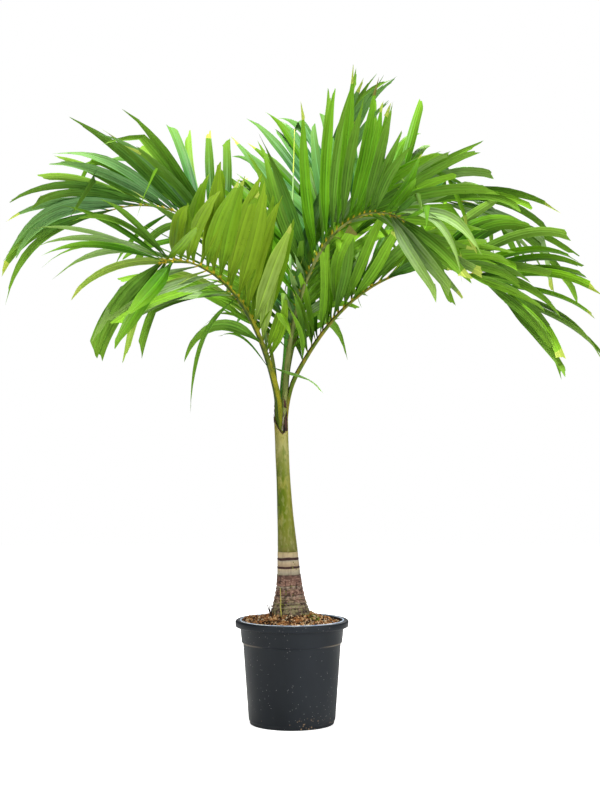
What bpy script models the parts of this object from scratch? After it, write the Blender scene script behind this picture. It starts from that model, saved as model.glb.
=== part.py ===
"""A young christmas palm in a round nursery pot, as separate solids.

Metres, +Z up. The origin is the centre of the pot's flat underside. +X is to the right
and -Y towards the front. The palm leans a little to the left out of its pot.
"""
import math
import random

import bmesh
import bpy
from mathutils import Matrix, Vector
from mathutils.bvhtree import BVHTree

# ---------------------------------------------------------------- driving sizes
CLEAR = 0.0003                 # gap kept between pieces that touch

POT_HEIGHT = 0.310
RIM_RADIUS = 0.170
RIM_DEPTH = 0.021
BAND_RADIUS = 0.1550           # the collar under the rim, at its top
BAND_LOW = 0.1510              # and at its foot
BAND_FOOT = 0.241              # height of the step under the collar
BODY_RADIUS = 0.1466           # just under the step
FOOT_RADIUS = 0.130
FOOT_DEPTH = 0.012
BASE_RADIUS = 0.1265
WALL = 0.003
COLLAR_INSET = 0.002           # the collar's inner wall ends this short of step and top
ROUND_SIDES = 36               # of pot and soil, so that their facets lie side by side
DRAIN_HOLES = 6
DRAIN_RADIUS = 0.008
DRAIN_RING = 0.088

SOIL_EDGE = 0.296              # soil level at the pot's wall
SOIL_CROWN = 0.325             # soil level at the trunk's foot
SOIL_SEAT = 0.066              # flat seat that the trunk stands on
SOIL_FALL = 0.7                # how late the heap falls off towards the wall
SOIL_RINGS = (0.094, 0.120, 0.138)
SOIL_LUMP = 0.003

LEAN_FOOT = -0.0045            # the trunk's centre line at the soil, along X
LEAN_TOP = -0.0320             # and at the top of the crownshaft
TRUNK_TOP = 0.512              # upper ring scar, where the green shaft begins
SHAFT_TOP = 0.868
CORE_TOP = 1.060               # the rolled sheaths inside the petioles
CORE_RADIUS = 0.0105
TRUNK_SIDES = 20

PETIOLE_RING = 0.0186          # petioles stand round the core at this radius
PETIOLE_FOOT = SHAFT_TOP + CLEAR
PETIOLE_RADIUS = 0.0072
RACHIS_TIP_RADIUS = 0.0022
RACHIS_STATIONS = 18

LEAFLET_STATIONS = (0.0, 0.30, 0.76, 1.0)
LEAFLET_WIDTHS = (0.15, 1.0, 0.80, 0.0)
LEAFLET_THICKNESS = 0.012      # midrib height as a share of the leaflet's length
MIDRIB_END = 0.35              # share of that height left where the leaflet is narrowest
LEAFLET_SUNK = 0.6             # share of the rachis radius that a leaflet's root goes in

# Each frond: where its stalk stands round the shaft, where it points and how it arches
# (degrees and metres), the bare share of its stalk, and where it is split in two. "lift"
# is how far its two ranks of leaflets close up into a V, and "roll" turns both of them
# about the rachis, at the foot, middle and tip of the blade. "sweep" is the leaflets'
# angle to the rachis and "sag" how far they bend down, at the foot and the tip; "tip" is
# the size of the last leaflets. "width", "twist" and "slack" have a value for each rank:
# how broad its blades are, how far they are turned about their own midribs, and a factor
# on their sag. "strays" are single leaflets that hang or stand apart, as
# (share of the rachis, side, sweep, lift, length, width, sag, twist).
FRONDS = {
    "front_right": dict(
        seat=301, azimuth=299, sway=10, rise=84, droop=114, bend=1.8, length=0.98,
        bare=0.24, split=0.60, pairs=21, reach=0.445, width=(0.044, 0.038),
        lift=(21, 64, -4), roll=(1, -25, -48), sweep=(58, 37), tip=0.66, sag=(0.7, 0.1),
        twist=(-50, -42), slack=(1.0, 1.0), strays=(
            (0.934, 1, 23, -68, 0.34, 0.034, 0.5, 10), (0.939, 1, 21, -34, 0.31, 0.036, 0.5, -30),
            (0.928, -1, 13, 36, 0.39, 0.020, 2.0, -24), (0.968, -1, 30, 45, 0.36, 0.030, 1.6, -15)),
        seed=14),
    "front_left": dict(
        seat=243, azimuth=235, sway=-4, rise=72, droop=86, bend=1.64, length=0.8,
        bare=0.27, split=0.60, pairs=19, reach=0.375, width=(0.05, 0.029),
        lift=(56, -8, 34), roll=(-11, 54, -9), sweep=(30, 58), tip=1.03, sag=(0.8, 0.9),
        twist=(-15, -60), slack=(0.35, 1.0), strays=(
            (0.572, -1, 67, -54, 0.46, 0.014, 1.6, 30), (0.357, -1, 34, -89, 0.37, 0.036, 1.5, -24),
            (0.236, 1, 27, -80, 0.27, 0.010, 0.8, 24), (0.258, 1, 85, -12, 0.30, 0.024, 0.5, 24),
            (0.304, 1, 67, 89, 0.42, 0.032, 3.1, 24), (0.995, -1, 85, -35, 0.37, 0.044, 0.9, 60),
            (0.980, -1, 85, -42, 0.37, 0.040, 0.7, 60), (0.971, 1, 37, -79, 0.32, 0.040, 0.2, 30),
            (0.936, 1, 31, -34, 0.44, 0.044, 0.1, -10), (0.955, 1, 38, 72, 0.40, 0.018, 0.5, 10),
            (0.962, 1, 30, 84, 0.42, 0.018, 0.6, 20), (0.975, -1, 34, 84, 0.40, 0.016, 0.4, -20),
            (0.985, -1, 24, 70, 0.42, 0.020, 0.7, -10)),
        seed=11),
    "right": dict(
        seat=352, azimuth=-6, sway=3, rise=65, droop=121, bend=2.1, length=0.98,
        bare=0.22, split=0.58, pairs=21, reach=0.37, width=(0.036, 0.036),
        lift=(60, 28, 70), roll=(5, 18, 70), sweep=(48, 43), tip=1.0, sag=(0.5, 0.8),
        twist=(18, 68), slack=(1.0, 1.0), strays=(
            (0.755, -1, 3, 39, 0.37, 0.010, 0.8, -80),),
        seed=16),
    "back_left": dict(
        seat=144, azimuth=153, sway=4, rise=86, droop=108, bend=1.7, length=1.12,
        bare=0.27, split=0.60, pairs=21, reach=0.46, width=(0.036, 0.034),
        lift=(-48, 47, 47), roll=(2, -3, -43), sweep=(49, 20), tip=0.89, sag=(0.2, 1.1),
        twist=(50, 12), slack=(1.0, 1.0), strays=(
            (0.60, 1, 40, -60, 0.30, 0.024, 0.8, 20), (0.68, -1, 45, -70, 0.28, 0.026, 0.6, -20),
            (0.75, 1, 50, -65, 0.26, 0.022, 0.8, 20)),
        seed=12),
    "back_right": dict(
        seat=43, azimuth=22, sway=-1, rise=87, droop=98, bend=1.5, length=1.12,
        bare=0.26, split=0.60, pairs=19, reach=0.42, width=(0.038, 0.036),
        lift=(12, 47, -10), roll=(-25, 27, 28), sweep=(64, 36), tip=1.1, sag=(0.7, 0.9),
        twist=(-8, 72), slack=(1.0, 1.0), strays=(), seed=15),
    "back": dict(
        seat=94, azimuth=60, sway=3, rise=86, droop=39, bend=1.1, length=0.95,
        bare=0.28, split=0.66, pairs=18, reach=0.45, width=(0.042, 0.04),
        lift=(4, 32, 46), roll=(-50, -17, -8), sweep=(48, 39), tip=0.84, sag=(0.4, 0.7),
        twist=(-12, 75), slack=(1.0, 1.0), strays=(), seed=13),
}
CLASP_PITCH = 90               # the stalks run up along the shaft before they part
CLASP_START = 0.06
CLASP_SHARE = 0.14
LEAFLET_PIECES = 12            # steps that a leaflet's bend is worked out in
LAST_LEAFLET = 0.995           # share of the rachis where the last pair stands
FIRST_GROWTH = 0.58            # length of the blade's first leaflets beside the longest
FIRST_WIDTH = 0.55             # their width beside the widest
LAST_WIDTH = 0.80              # and the width of the last ones
GROWN = 0.27                   # share of the blade where they reach their full size
FADING = 0.50                  # and where they begin to grow smaller again
PLACE_SCATTER = 0.22           # how far the draws move a pair, in shares of its spacing
SWEEP_SCATTER = 5              # degrees
LIFT_SCATTER = 7
TWIST_SCATTER = 8
LENGTH_SCATTER = (0.88, 1.08)
SAG_SCATTER = (0.5, 1.5)

SPEAR_LENGTH = 0.74            # the new leaf, still rolled
SPEAR_RADIUS = 0.0068
SPEAR_TIP = 0.0012
SPEAR_LEAN = (0.045, 0.060)    # how far its tip stands off to the right and to the back
SLIM_SIDES = 8                 # of the spear and of the drain holes


# ---------------------------------------------------------------- small helpers
def clear_scene():
    for obj in list(bpy.data.objects):
        bpy.data.objects.remove(obj, do_unlink=True)


def make_material(name, colour, roughness, metallic=0.0):
    material = bpy.data.materials.new(name)
    material.use_nodes = True
    shader = material.node_tree.nodes["Principled BSDF"]
    shader.inputs["Base Color"].default_value = (*colour, 1.0)
    shader.inputs["Roughness"].default_value = roughness
    shader.inputs["Metallic"].default_value = metallic
    return material


def add_object(name, mesh, collection, material=None):
    obj = bpy.data.objects.new(name, mesh)
    collection.objects.link(obj)
    if material:
        mesh.materials.append(material)
    return obj


def mesh_from(bm, name):
    mesh = bpy.data.meshes.new(name)
    bm.to_mesh(mesh)
    bm.free()
    return mesh


def mix(a, b, share):
    return a + (b - a) * share


def smooth(share):
    share = max(0.0, min(1.0, share))
    return share * share * (3 - 2 * share)


# ---------------------------------------------------------------- pot and soil
def pot_profile():
    """The pot's section as (radius, height), up the inside and down the outside."""
    inner_foot = BASE_RADIUS - WALL
    return [
        (0.0, WALL),
        (inner_foot, WALL),
        (BODY_RADIUS - WALL, BAND_FOOT - 0.001),
        (BAND_LOW - WALL, BAND_FOOT + COLLAR_INSET),
        (BAND_RADIUS - WALL, POT_HEIGHT - COLLAR_INSET),
        (BAND_RADIUS + 0.001, POT_HEIGHT),
        (RIM_RADIUS - 0.002, POT_HEIGHT),
        (RIM_RADIUS, POT_HEIGHT - 0.003),
        (RIM_RADIUS, POT_HEIGHT - RIM_DEPTH),
        (BAND_RADIUS + 0.0005, POT_HEIGHT - RIM_DEPTH),
        (BAND_LOW, BAND_FOOT),
        (BODY_RADIUS, BAND_FOOT - 0.002),
        (FOOT_RADIUS, FOOT_DEPTH),
        (BASE_RADIUS, 0.0),
        (0.0, 0.0),
    ]


def turned(name, profile, sides, collection, material):
    """A solid of revolution about Z, from a profile that starts and ends on the axis."""
    bm = bmesh.new()
    verts = [bm.verts.new((radius, 0.0, height)) for radius, height in profile]
    for first, second in zip(verts, verts[1:]):
        bm.edges.new((first, second))
    obj = add_object(name, mesh_from(bm, name), collection, material)
    screw = obj.modifiers.new("turn", "SCREW")
    screw.steps = sides
    screw.render_steps = sides
    screw.use_merge_vertices = True
    screw.merge_threshold = 0.00001
    return obj


def apply_modifiers(obj):
    graph = bpy.context.evaluated_depsgraph_get()
    mesh = bpy.data.meshes.new_from_object(obj.evaluated_get(graph))
    old = obj.data
    obj.modifiers.clear()
    obj.data = mesh
    bpy.data.meshes.remove(old)
    return mesh


def make_pot(parts, cutters):
    material = make_material("pot_plastic", (0.025, 0.029, 0.031), 0.45)
    pot = turned("pot", pot_profile(), ROUND_SIDES, parts, material)
    for index in range(DRAIN_HOLES):
        angle = math.tau * (index + 0.5) / DRAIN_HOLES
        bm = bmesh.new()
        centre = Vector((math.cos(angle), math.sin(angle), 0.0)) * DRAIN_RING
        place = Matrix.Translation(centre)
        bmesh.ops.create_cone(bm, cap_ends=True, segments=SLIM_SIDES, radius1=DRAIN_RADIUS,
                              radius2=DRAIN_RADIUS, depth=4 * WALL, matrix=place)
        hole = add_object(f"drain_cutter_{index}", mesh_from(bm, "drain"), cutters)
        hole.hide_render = True
        hole.display_type = "WIRE"
    cut = pot.modifiers.new("drain_holes", "BOOLEAN")
    cut.operation = "DIFFERENCE"
    cut.operand_type = "COLLECTION"
    cut.collection = cutters
    cut.solver = "EXACT"
    return pot


def soil_level(radius):
    """Height of the soil: highest against the trunk, nearly flat near the pot's wall."""
    span = max(0.0, (radius - SOIL_SEAT) / (BAND_RADIUS - SOIL_SEAT))
    return mix(SOIL_CROWN, SOIL_EDGE, span ** SOIL_FALL)


def collar_inside(height):
    """Radius of the collar's inner wall at a height."""
    low, high = BAND_FOOT + COLLAR_INSET, POT_HEIGHT - COLLAR_INSET
    return mix(BAND_LOW, BAND_RADIUS, (height - low) / (high - low)) - WALL


def make_soil(parts):
    material = make_material("bark_chips", (0.26, 0.12, 0.055), 0.95)
    wall = WALL + CLEAR
    profile = [(0.0, SOIL_CROWN)]
    profile += [(radius, soil_level(radius)) for radius in (SOIL_SEAT, *SOIL_RINGS)]
    profile += [
        (collar_inside(SOIL_EDGE) - CLEAR, SOIL_EDGE),
        (BAND_LOW - wall, BAND_FOOT + COLLAR_INSET + CLEAR),
        (BODY_RADIUS - wall, BAND_FOOT - 0.001),
        (BASE_RADIUS - wall - CLEAR, wall),
        (0.0, wall),
    ]
    soil = turned("soil", profile, ROUND_SIDES, parts, material)
    apply_modifiers(soil)
    bm = bmesh.new()
    bm.from_mesh(soil.data)
    draw = random.Random(5)
    for vert in bm.verts:
        radius = Vector((vert.co.x, vert.co.y)).length
        if vert.co.z > SOIL_EDGE + 0.001 and radius > SOIL_SEAT + 0.001:
            vert.co.z += draw.uniform(-SOIL_LUMP, SOIL_LUMP)
    bm.to_mesh(soil.data)
    bm.free()
    return soil


# ---------------------------------------------------------------- trunk and crownshaft
def stem_centre(height):
    """The leaning centre line of trunk and crownshaft."""
    share = (height - SOIL_CROWN) / (SHAFT_TOP - SOIL_CROWN)
    return Vector((mix(LEAN_FOOT, LEAN_TOP, smooth(share) * 0.4 + share * 0.6), 0.0, height))


def stem(name, stations, collection, material):
    """A leaning round solid through (height, radius) stations, closed at both ends."""
    bm = bmesh.new()
    rings = []
    for height, radius in stations:
        place = Matrix.Translation(stem_centre(height))
        ring = bmesh.ops.create_circle(bm, segments=TRUNK_SIDES, radius=radius, matrix=place)
        rings.append(ring["verts"])
    for lower, upper in zip(rings, rings[1:]):
        for index in range(TRUNK_SIDES):
            after = (index + 1) % TRUNK_SIDES
            bm.faces.new((lower[index], lower[after], upper[after], upper[index]))
    bm.faces.new(list(reversed(rings[0])))
    bm.faces.new(rings[-1])
    bmesh.ops.recalc_face_normals(bm, faces=bm.faces)
    obj = add_object(name, mesh_from(bm, name), collection, material)
    obj.data.shade_smooth()
    return obj


def make_trunk(parts):
    material = make_material("ringed_bark", (0.22, 0.16, 0.11), 0.85)
    stations = [
        (SOIL_CROWN + CLEAR, 0.0585),
        (0.346, 0.0550),
        (0.360, 0.0508),
        (0.376, 0.0462),
        (0.392, 0.0426),
        (0.410, 0.0398),
        (0.413, 0.0384),
        (0.440, 0.0362),
        (0.443, 0.0350),
        (0.465, 0.0338),
        (0.468, 0.0330),
        (0.489, 0.0322),
        (0.492, 0.0314),
        (TRUNK_TOP, 0.0304),
    ]
    return stem("trunk", stations, parts, material)


def make_crownshaft(parts):
    """The smooth green shaft of sheaths, its shoulder, and the rolled core above it."""
    material = make_material("green_sheath", (0.30, 0.34, 0.10), 0.5)
    stations = [
        (TRUNK_TOP + CLEAR, 0.0300),
        (0.560, 0.0273),
        (0.610, 0.0248),
        (0.670, 0.0226),
        (0.740, 0.0212),
        (0.810, 0.0208),
        (SHAFT_TOP - 0.010, 0.0212),
        (SHAFT_TOP, 0.0262),
        (SHAFT_TOP + 0.00001, CORE_RADIUS),
        (0.960, CORE_RADIUS * 0.86),
        (CORE_TOP, CORE_RADIUS * 0.70),
    ]
    return stem("crownshaft", stations, parts, material)


# ---------------------------------------------------------------- the frond rule
def rachis_heading(frond, share):
    """The way the rachis runs, and the way to its left, at a share of its length."""
    heading = math.radians(frond["azimuth"] + frond["sway"] * share)
    pitch = frond["rise"] - frond["droop"] * share ** frond["bend"]
    pitch = math.radians(mix(CLASP_PITCH, pitch, smooth((share - CLASP_START) / CLASP_SHARE)))
    along = Vector((math.cos(pitch) * math.cos(heading),
                    math.cos(pitch) * math.sin(heading), math.sin(pitch)))
    return along, Vector((-math.sin(heading), math.cos(heading), 0.0))


def level_at(levels, along):
    """A value given at the foot, middle and tip of the blade, at a share of its length."""
    foot, middle, tip = levels
    if along < 0.5:
        return mix(foot, middle, smooth(along / 0.5))
    return mix(middle, tip, smooth((along - 0.5) / 0.5))


def frond_stations(frond, count):
    """The rachis as frames (place, along, left, up), from its foot to its tip."""
    seat = math.radians(frond["seat"])
    place = stem_centre(PETIOLE_FOOT) + Vector((math.cos(seat), math.sin(seat), 0.0)) * PETIOLE_RING
    step = frond["length"] / count
    frames = []
    for index in range(count + 1):
        share = index / count
        along, left = rachis_heading(frond, share)
        blade = (share - frond["bare"]) / (1.0 - frond["bare"])
        roll = level_at(frond["roll"], max(0.0, blade)) * smooth(share / frond["bare"])
        left = Matrix.Rotation(math.radians(roll), 3, along) @ left
        frames.append((place.copy(), along, left, along.cross(left)))
        place = place + rachis_heading(frond, (index + 0.5) / count)[0] * step
    return frames


def frame_at(frames, share):
    """The rachis frame at a share of its length, between its stations."""
    scaled = max(0.0, min(1.0, share)) * (len(frames) - 1)
    index = min(int(scaled), len(frames) - 2)
    rest = scaled - index
    mixed = [first.lerp(second, rest) for first, second in zip(frames[index], frames[index + 1])]
    return mixed[0], mixed[1].normalized(), mixed[2].normalized(), mixed[3].normalized()


def rachis_radius(share):
    return mix(PETIOLE_RADIUS, RACHIS_TIP_RADIUS, smooth(share) * 0.35 + share * 0.65)


def leaflet_plan(frond):
    """Every leaflet of a frond: its share along the rachis, side, angles and sizes."""
    draw = random.Random(frond["seed"])
    plan = []
    twist = dict(zip((1, -1), frond["twist"]))
    width = dict(zip((1, -1), frond["width"]))
    slack = dict(zip((1, -1), frond["slack"]))
    for share, side, sweep, lift, length, wide, sag, turn in frond["strays"]:
        plan.append(dict(share=share, side=side, sweep=sweep, lift=lift, length=length,
                         width=wide, sag=sag, twist=turn))
    pairs = frond["pairs"]
    for index in range(pairs):
        for side in (1, -1):
            along = (index + 0.5 + draw.uniform(-PLACE_SCATTER, PLACE_SCATTER)) / pairs
            growth = mix(FIRST_GROWTH, 1.0, smooth(along / GROWN))
            fading = mix(1.0, frond["tip"], smooth((along - FADING) / (1.0 - FADING)))
            slimming = mix(FIRST_WIDTH, 1.0, smooth(along / GROWN))
            slimming *= mix(1.0, LAST_WIDTH, smooth((along - FADING) / (1.0 - FADING)))
            plan.append(dict(
                share=mix(frond["bare"], LAST_LEAFLET, along),
                side=side,
                sweep=mix(*frond["sweep"], along) + draw.uniform(-SWEEP_SCATTER, SWEEP_SCATTER),
                lift=level_at(frond["lift"], along) + draw.uniform(-LIFT_SCATTER, LIFT_SCATTER),
                length=frond["reach"] * growth * fading * draw.uniform(*LENGTH_SCATTER),
                width=width[side] * slimming,
                sag=mix(*frond["sag"], along) * slack[side] * draw.uniform(*SAG_SCATTER),
                twist=side * (twist[side] + draw.uniform(-TWIST_SCATTER, TWIST_SCATTER))))
    return plan


def leaflet_line(frames, leaf, shares):
    """The leaflet's midrib as (place, along, across), bending down under its weight."""
    root, along, left, up = frame_at(frames, leaf["share"])
    sweep = math.radians(leaf["sweep"])
    lift = math.radians(leaf["lift"])
    outward = left * leaf["side"] * math.cos(lift) + up * math.sin(lift)
    heading = (along * math.cos(sweep) + outward * math.sin(sweep)).normalized()
    across = (along - heading * along.dot(heading)).normalized()
    across = Matrix.Rotation(math.radians(leaf["twist"]), 3, heading) @ across
    place = root + outward * rachis_radius(leaf["share"]) * (1 - LEAFLET_SUNK)
    line = [(place.copy(), heading.copy(), across.copy())]
    pieces = LEAFLET_PIECES
    marks = list(shares[1:])
    for step in range(pieces):
        pull = leaf["sag"] * 2.0 * (step + 0.5) / pieces / pieces
        heading = (heading + Vector((0, 0, -pull))).normalized()
        across = (across - heading * across.dot(heading)).normalized()
        before = place
        place = place + heading * (leaf["length"] / pieces)
        while marks and marks[0] <= (step + 1) / pieces + 1e-6:
            rest = marks[0] * pieces - step
            line.append((before.lerp(place, rest), heading.copy(), across.copy()))
            marks.pop(0)
    return line


def leaflet_mesh(frames, leaf):
    """One leaflet as a thin three-sided solid, sharp-edged with a raised midrib."""
    line = leaflet_line(frames, leaf, LEAFLET_STATIONS)
    raise_by = leaf["length"] * LEAFLET_THICKNESS
    bm = bmesh.new()
    rings = []
    for (place, heading, across), share in zip(line, LEAFLET_WIDTHS):
        half = across * leaf["width"] * 0.5 * share
        face = across.cross(heading).normalized() * leaf["side"]
        if share == 0.0:
            rings.append([bm.verts.new(place)])
            continue
        ridge = face * raise_by * mix(MIDRIB_END, 1.0, share)
        rings.append([bm.verts.new(place - half), bm.verts.new(place + half),
                      bm.verts.new(place + ridge)])
    bm.faces.new(rings[0])
    for lower, upper in zip(rings, rings[1:]):
        for index in range(3):
            after = (index + 1) % 3
            if len(upper) == 1:
                bm.faces.new((lower[index], lower[after], upper[0]))
            else:
                bm.faces.new((lower[index], lower[after], upper[after], upper[index]))
    bmesh.ops.triangulate(bm, faces=bm.faces)
    bmesh.ops.recalc_face_normals(bm, faces=bm.faces)
    bm.verts.index_update()
    return bm


def rachis_mesh(frames, start, end, name, collection):
    """The rachis between two shares of its length, a tapering tube made from a curve."""
    first = round(start * (len(frames) - 1))
    last = round(end * (len(frames) - 1))
    places = [frame[0].copy() for frame in frames[first:last + 1]]
    if first > 0:
        bend = frames[first - 1][1].angle(frames[first][1])
        gap = CLEAR + rachis_radius(start) * math.sin(bend)
        places[0] += (places[1] - places[0]).normalized() * gap
    curve = bpy.data.curves.new(name, "CURVE")
    curve.dimensions = "3D"
    curve.bevel_depth = 1.0
    curve.bevel_resolution = 1
    curve.use_fill_caps = True
    spline = curve.splines.new("POLY")
    spline.points.add(len(places) - 1)
    for index, place in enumerate(places):
        spline.points[index].co = (*place, 1.0)
        spline.points[index].radius = rachis_radius((first + index) / (len(frames) - 1))
    tube = bpy.data.objects.new(name, curve)
    collection.objects.link(tube)
    graph = bpy.context.evaluated_depsgraph_get()
    mesh = bpy.data.meshes.new_from_object(tube.evaluated_get(graph))
    bpy.data.objects.remove(tube, do_unlink=True)
    bm = bmesh.new()
    bm.from_mesh(mesh)
    bmesh.ops.remove_doubles(bm, verts=bm.verts, dist=0.00001)
    bmesh.ops.triangulate(bm, faces=bm.faces)
    bmesh.ops.recalc_face_normals(bm, faces=bm.faces)
    bm.to_mesh(mesh)
    bm.free()
    return mesh


def make_spear(parts):
    """The new leaf, a slim rolled spear beside the core, closed to a point."""
    material = make_material("new_leaf", (0.45, 0.50, 0.12), 0.5)
    dip = SPEAR_RADIUS * Vector(SPEAR_LEAN).length / SPEAR_LENGTH
    foot = stem_centre(CORE_TOP) + Vector((0, 0, CLEAR + dip))
    tip = foot + Vector((*SPEAR_LEAN, SPEAR_LENGTH))
    bm = bmesh.new()
    turn = Vector((0, 0, 1)).rotation_difference(tip - foot).to_matrix().to_4x4()
    place = Matrix.Translation((foot + tip) / 2) @ turn
    bmesh.ops.create_cone(bm, cap_ends=True, segments=SLIM_SIDES, radius1=SPEAR_RADIUS,
                          radius2=SPEAR_TIP, depth=(tip - foot).length, matrix=place)
    return add_object("spear_leaf", mesh_from(bm, "spear_leaf"), parts, material)


def tree_of(meshes):
    """A search tree over the triangles of several meshes in world space."""
    verts, faces = [], []
    for mesh in meshes:
        offset = len(verts)
        verts += [vert.co.copy() for vert in mesh.vertices]
        faces += [[offset + index for index in face.vertices] for face in mesh.polygons]
    return BVHTree.FromPolygons(verts, faces) if faces else None


# Changes of lift, sweep (degrees) and length that are tried in turn for a leaflet that
# runs into another node
VARIANTS = [(0, 0, 1.0), (7, 0, 1.0), (-7, 0, 1.0), (0, 7, 1.0), (0, -7, 1.0), (14, 4, 1.0),
            (-14, 4, 1.0), (7, -7, 0.85), (-7, 7, 0.85), (20, 0, 0.8), (-20, 0, 0.8), (0, 0, 0.6)]


ROOT_SHARE = 0.2               # of a leaflet's first piece, which may touch its neighbours'


def blade_tree(bm):
    """A search tree of a leaflet's outer part, away from where it joins the rachis."""
    bm.verts.ensure_lookup_table()
    verts = [vert.co.copy() for vert in bm.verts]
    for index in range(3):
        verts[index] = verts[index].lerp(verts[index + 3], ROOT_SHARE)
    return BVHTree.FromPolygons(verts, [[vert.index for vert in face.verts] for face in bm.faces])


def fitting_leaflet(frames, leaf, others, siblings):
    """The leaflet, nudged until it is clear of every other node, or nothing."""
    for lift, sweep, shorten in VARIANTS:
        trial = dict(leaf)
        trial["lift"] += lift
        trial["sweep"] += sweep
        trial["length"] *= shorten
        bm = leaflet_mesh(frames, trial)
        whole = BVHTree.FromBMesh(bm)
        if not any(tree.overlap(whole) for tree in others):
            free = blade_tree(bm)
            if not any(tree.overlap(free) for tree in siblings):
                siblings.append(free)
                return bm
        bm.free()
    return None


def union(name, meshes, parts, material):
    """Joins several closed meshes into one body."""
    group = bpy.data.collections.new(name + "_pieces")
    bpy.context.scene.collection.children.link(group)
    for index, mesh in enumerate(meshes[1:]):
        add_object(f"{name}_piece_{index}", mesh, group)
    body = add_object(name, meshes[0], parts, material)
    if group.objects:
        join = body.modifiers.new("union", "BOOLEAN")
        join.operation = "UNION"
        join.operand_type = "COLLECTION"
        join.collection = group
        join.solver = "MANIFOLD"
        apply_modifiers(body)
    for piece in list(group.objects):
        bpy.data.objects.remove(piece, do_unlink=True)
    bpy.data.collections.remove(group)
    return body


def make_fronds(parts, fixed):
    """Every frond as an inner and an outer solid, split where it arches over."""
    scratch = bpy.data.collections.new("scratch")
    bpy.context.scene.collection.children.link(scratch)
    nodes = []
    for name, frond in FRONDS.items():
        frames = frond_stations(frond, RACHIS_STATIONS)
        split = round(frond["split"] * RACHIS_STATIONS) / RACHIS_STATIONS
        for half, start, end in (("inner", 0.0, split), ("outer", split, 1.0)):
            node = f"frond_{name}_{half}"
            stalk = rachis_mesh(frames, start, end, node, scratch)
            nodes.append(dict(node=node, frames=frames, frond=frond, start=start, end=end,
                              meshes=[stalk]))
    bpy.data.collections.remove(scratch)
    fixed_tree = tree_of(fixed)
    made = skipped = 0
    siblings = []
    for entry in nodes:
        if entry["start"] == 0.0:
            siblings = []
        others = [fixed_tree]
        others += [tree_of(other["meshes"]) for other in nodes if other is not entry]
        for leaf in leaflet_plan(entry["frond"]):
            if not entry["start"] <= leaf["share"] < entry["end"]:
                continue
            bm = fitting_leaflet(entry["frames"], leaf, others, siblings)
            if bm is None:
                skipped += 1
                continue
            entry["meshes"].append(mesh_from(bm, "leaflet"))
            made += 1
    print("leaflets", made, "skipped", skipped)
    material = make_material("palm_leaf", (0.12, 0.28, 0.04), 0.5)
    for entry in nodes:
        union(entry["node"], entry["meshes"], parts, material)


def main():
    clear_scene()
    scene_root = bpy.context.scene.collection
    parts = bpy.data.collections.new("christmas_palm")
    cutters = bpy.data.collections.new("cutters")
    scene_root.children.link(parts)
    scene_root.children.link(cutters)
    make_pot(parts, cutters)
    make_soil(parts)
    trunk = make_trunk(parts)
    shaft = make_crownshaft(parts)
    spear = make_spear(parts)
    make_fronds(parts, [trunk.data, shaft.data, spear.data])


main()
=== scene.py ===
# %% [markdown]
# # A young christmas palm in its nursery pot
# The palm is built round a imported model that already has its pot, soil, trunk, crownshaft
# and fronds at their real size. This lesson gives each of them its finished surface: a
# moulded pot, a mound of bark chips, a ringed trunk, a smooth green shaft, and arching
# fronds whose leaflets are all grown by one short rule.

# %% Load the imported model
import math
import random

import bmesh
import bpy
from mathutils import Matrix, Vector, noise


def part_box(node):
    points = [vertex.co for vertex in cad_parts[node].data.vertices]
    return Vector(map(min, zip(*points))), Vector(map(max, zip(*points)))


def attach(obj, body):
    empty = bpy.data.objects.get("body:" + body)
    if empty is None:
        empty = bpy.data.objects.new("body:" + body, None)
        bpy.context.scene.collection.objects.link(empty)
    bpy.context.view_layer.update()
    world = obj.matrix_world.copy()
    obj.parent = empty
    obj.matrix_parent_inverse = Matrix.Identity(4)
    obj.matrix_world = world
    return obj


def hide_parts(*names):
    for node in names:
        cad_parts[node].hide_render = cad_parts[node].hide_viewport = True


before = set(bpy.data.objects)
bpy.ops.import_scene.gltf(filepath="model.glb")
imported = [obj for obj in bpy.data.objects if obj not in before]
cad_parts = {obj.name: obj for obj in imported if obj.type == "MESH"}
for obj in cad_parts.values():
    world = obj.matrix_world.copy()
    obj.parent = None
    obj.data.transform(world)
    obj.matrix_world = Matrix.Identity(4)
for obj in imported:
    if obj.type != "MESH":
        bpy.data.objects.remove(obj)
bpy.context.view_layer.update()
print("nodes in the packed model:", len(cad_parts))

# %% [markdown]
# ## Helpers
# Every piece is a bmesh that ends as one object at the origin, unturned and unscaled, with
# its place in its mesh. It rides on the plant's one body, and hides the plain nodes that it
# stands for. Round shapes start as one circle of vertices that is extruded from station to
# station.

# %% Helpers for meshes
UPRIGHT_LIMIT = 0.05


def mix(a, b, share):
    return a + (b - a) * share


def smooth(share):
    share = max(0.0, min(1.0, share))
    return share * share * (3 - 2 * share)


def read_table(table, at):
    """The value at a place in a table of (place, value), between its rows."""
    for (low, first), (high, second) in zip(table, table[1:]):
        if at <= high:
            return mix(first, second, max(0.0, (at - low) / (high - low)))
    return table[-1][1]


def polar(angle, radius, height=0.0):
    return Vector((math.cos(angle) * radius, math.sin(angle) * radius, height))


def new_object(name, data, place=(0.0, 0.0, 0.0), turn=(0.0, 0.0, 0.0)):
    made = bpy.data.objects.new(name, data)
    made.location = place
    made.rotation_euler = turn
    bpy.context.scene.collection.objects.link(made)
    return made


def mesh_object(bm, name, materials):
    mesh = bpy.data.meshes.new(name)
    bm.to_mesh(mesh)
    bm.free()
    for material in materials:
        mesh.materials.append(material)
    return new_object(name, mesh)


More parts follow.
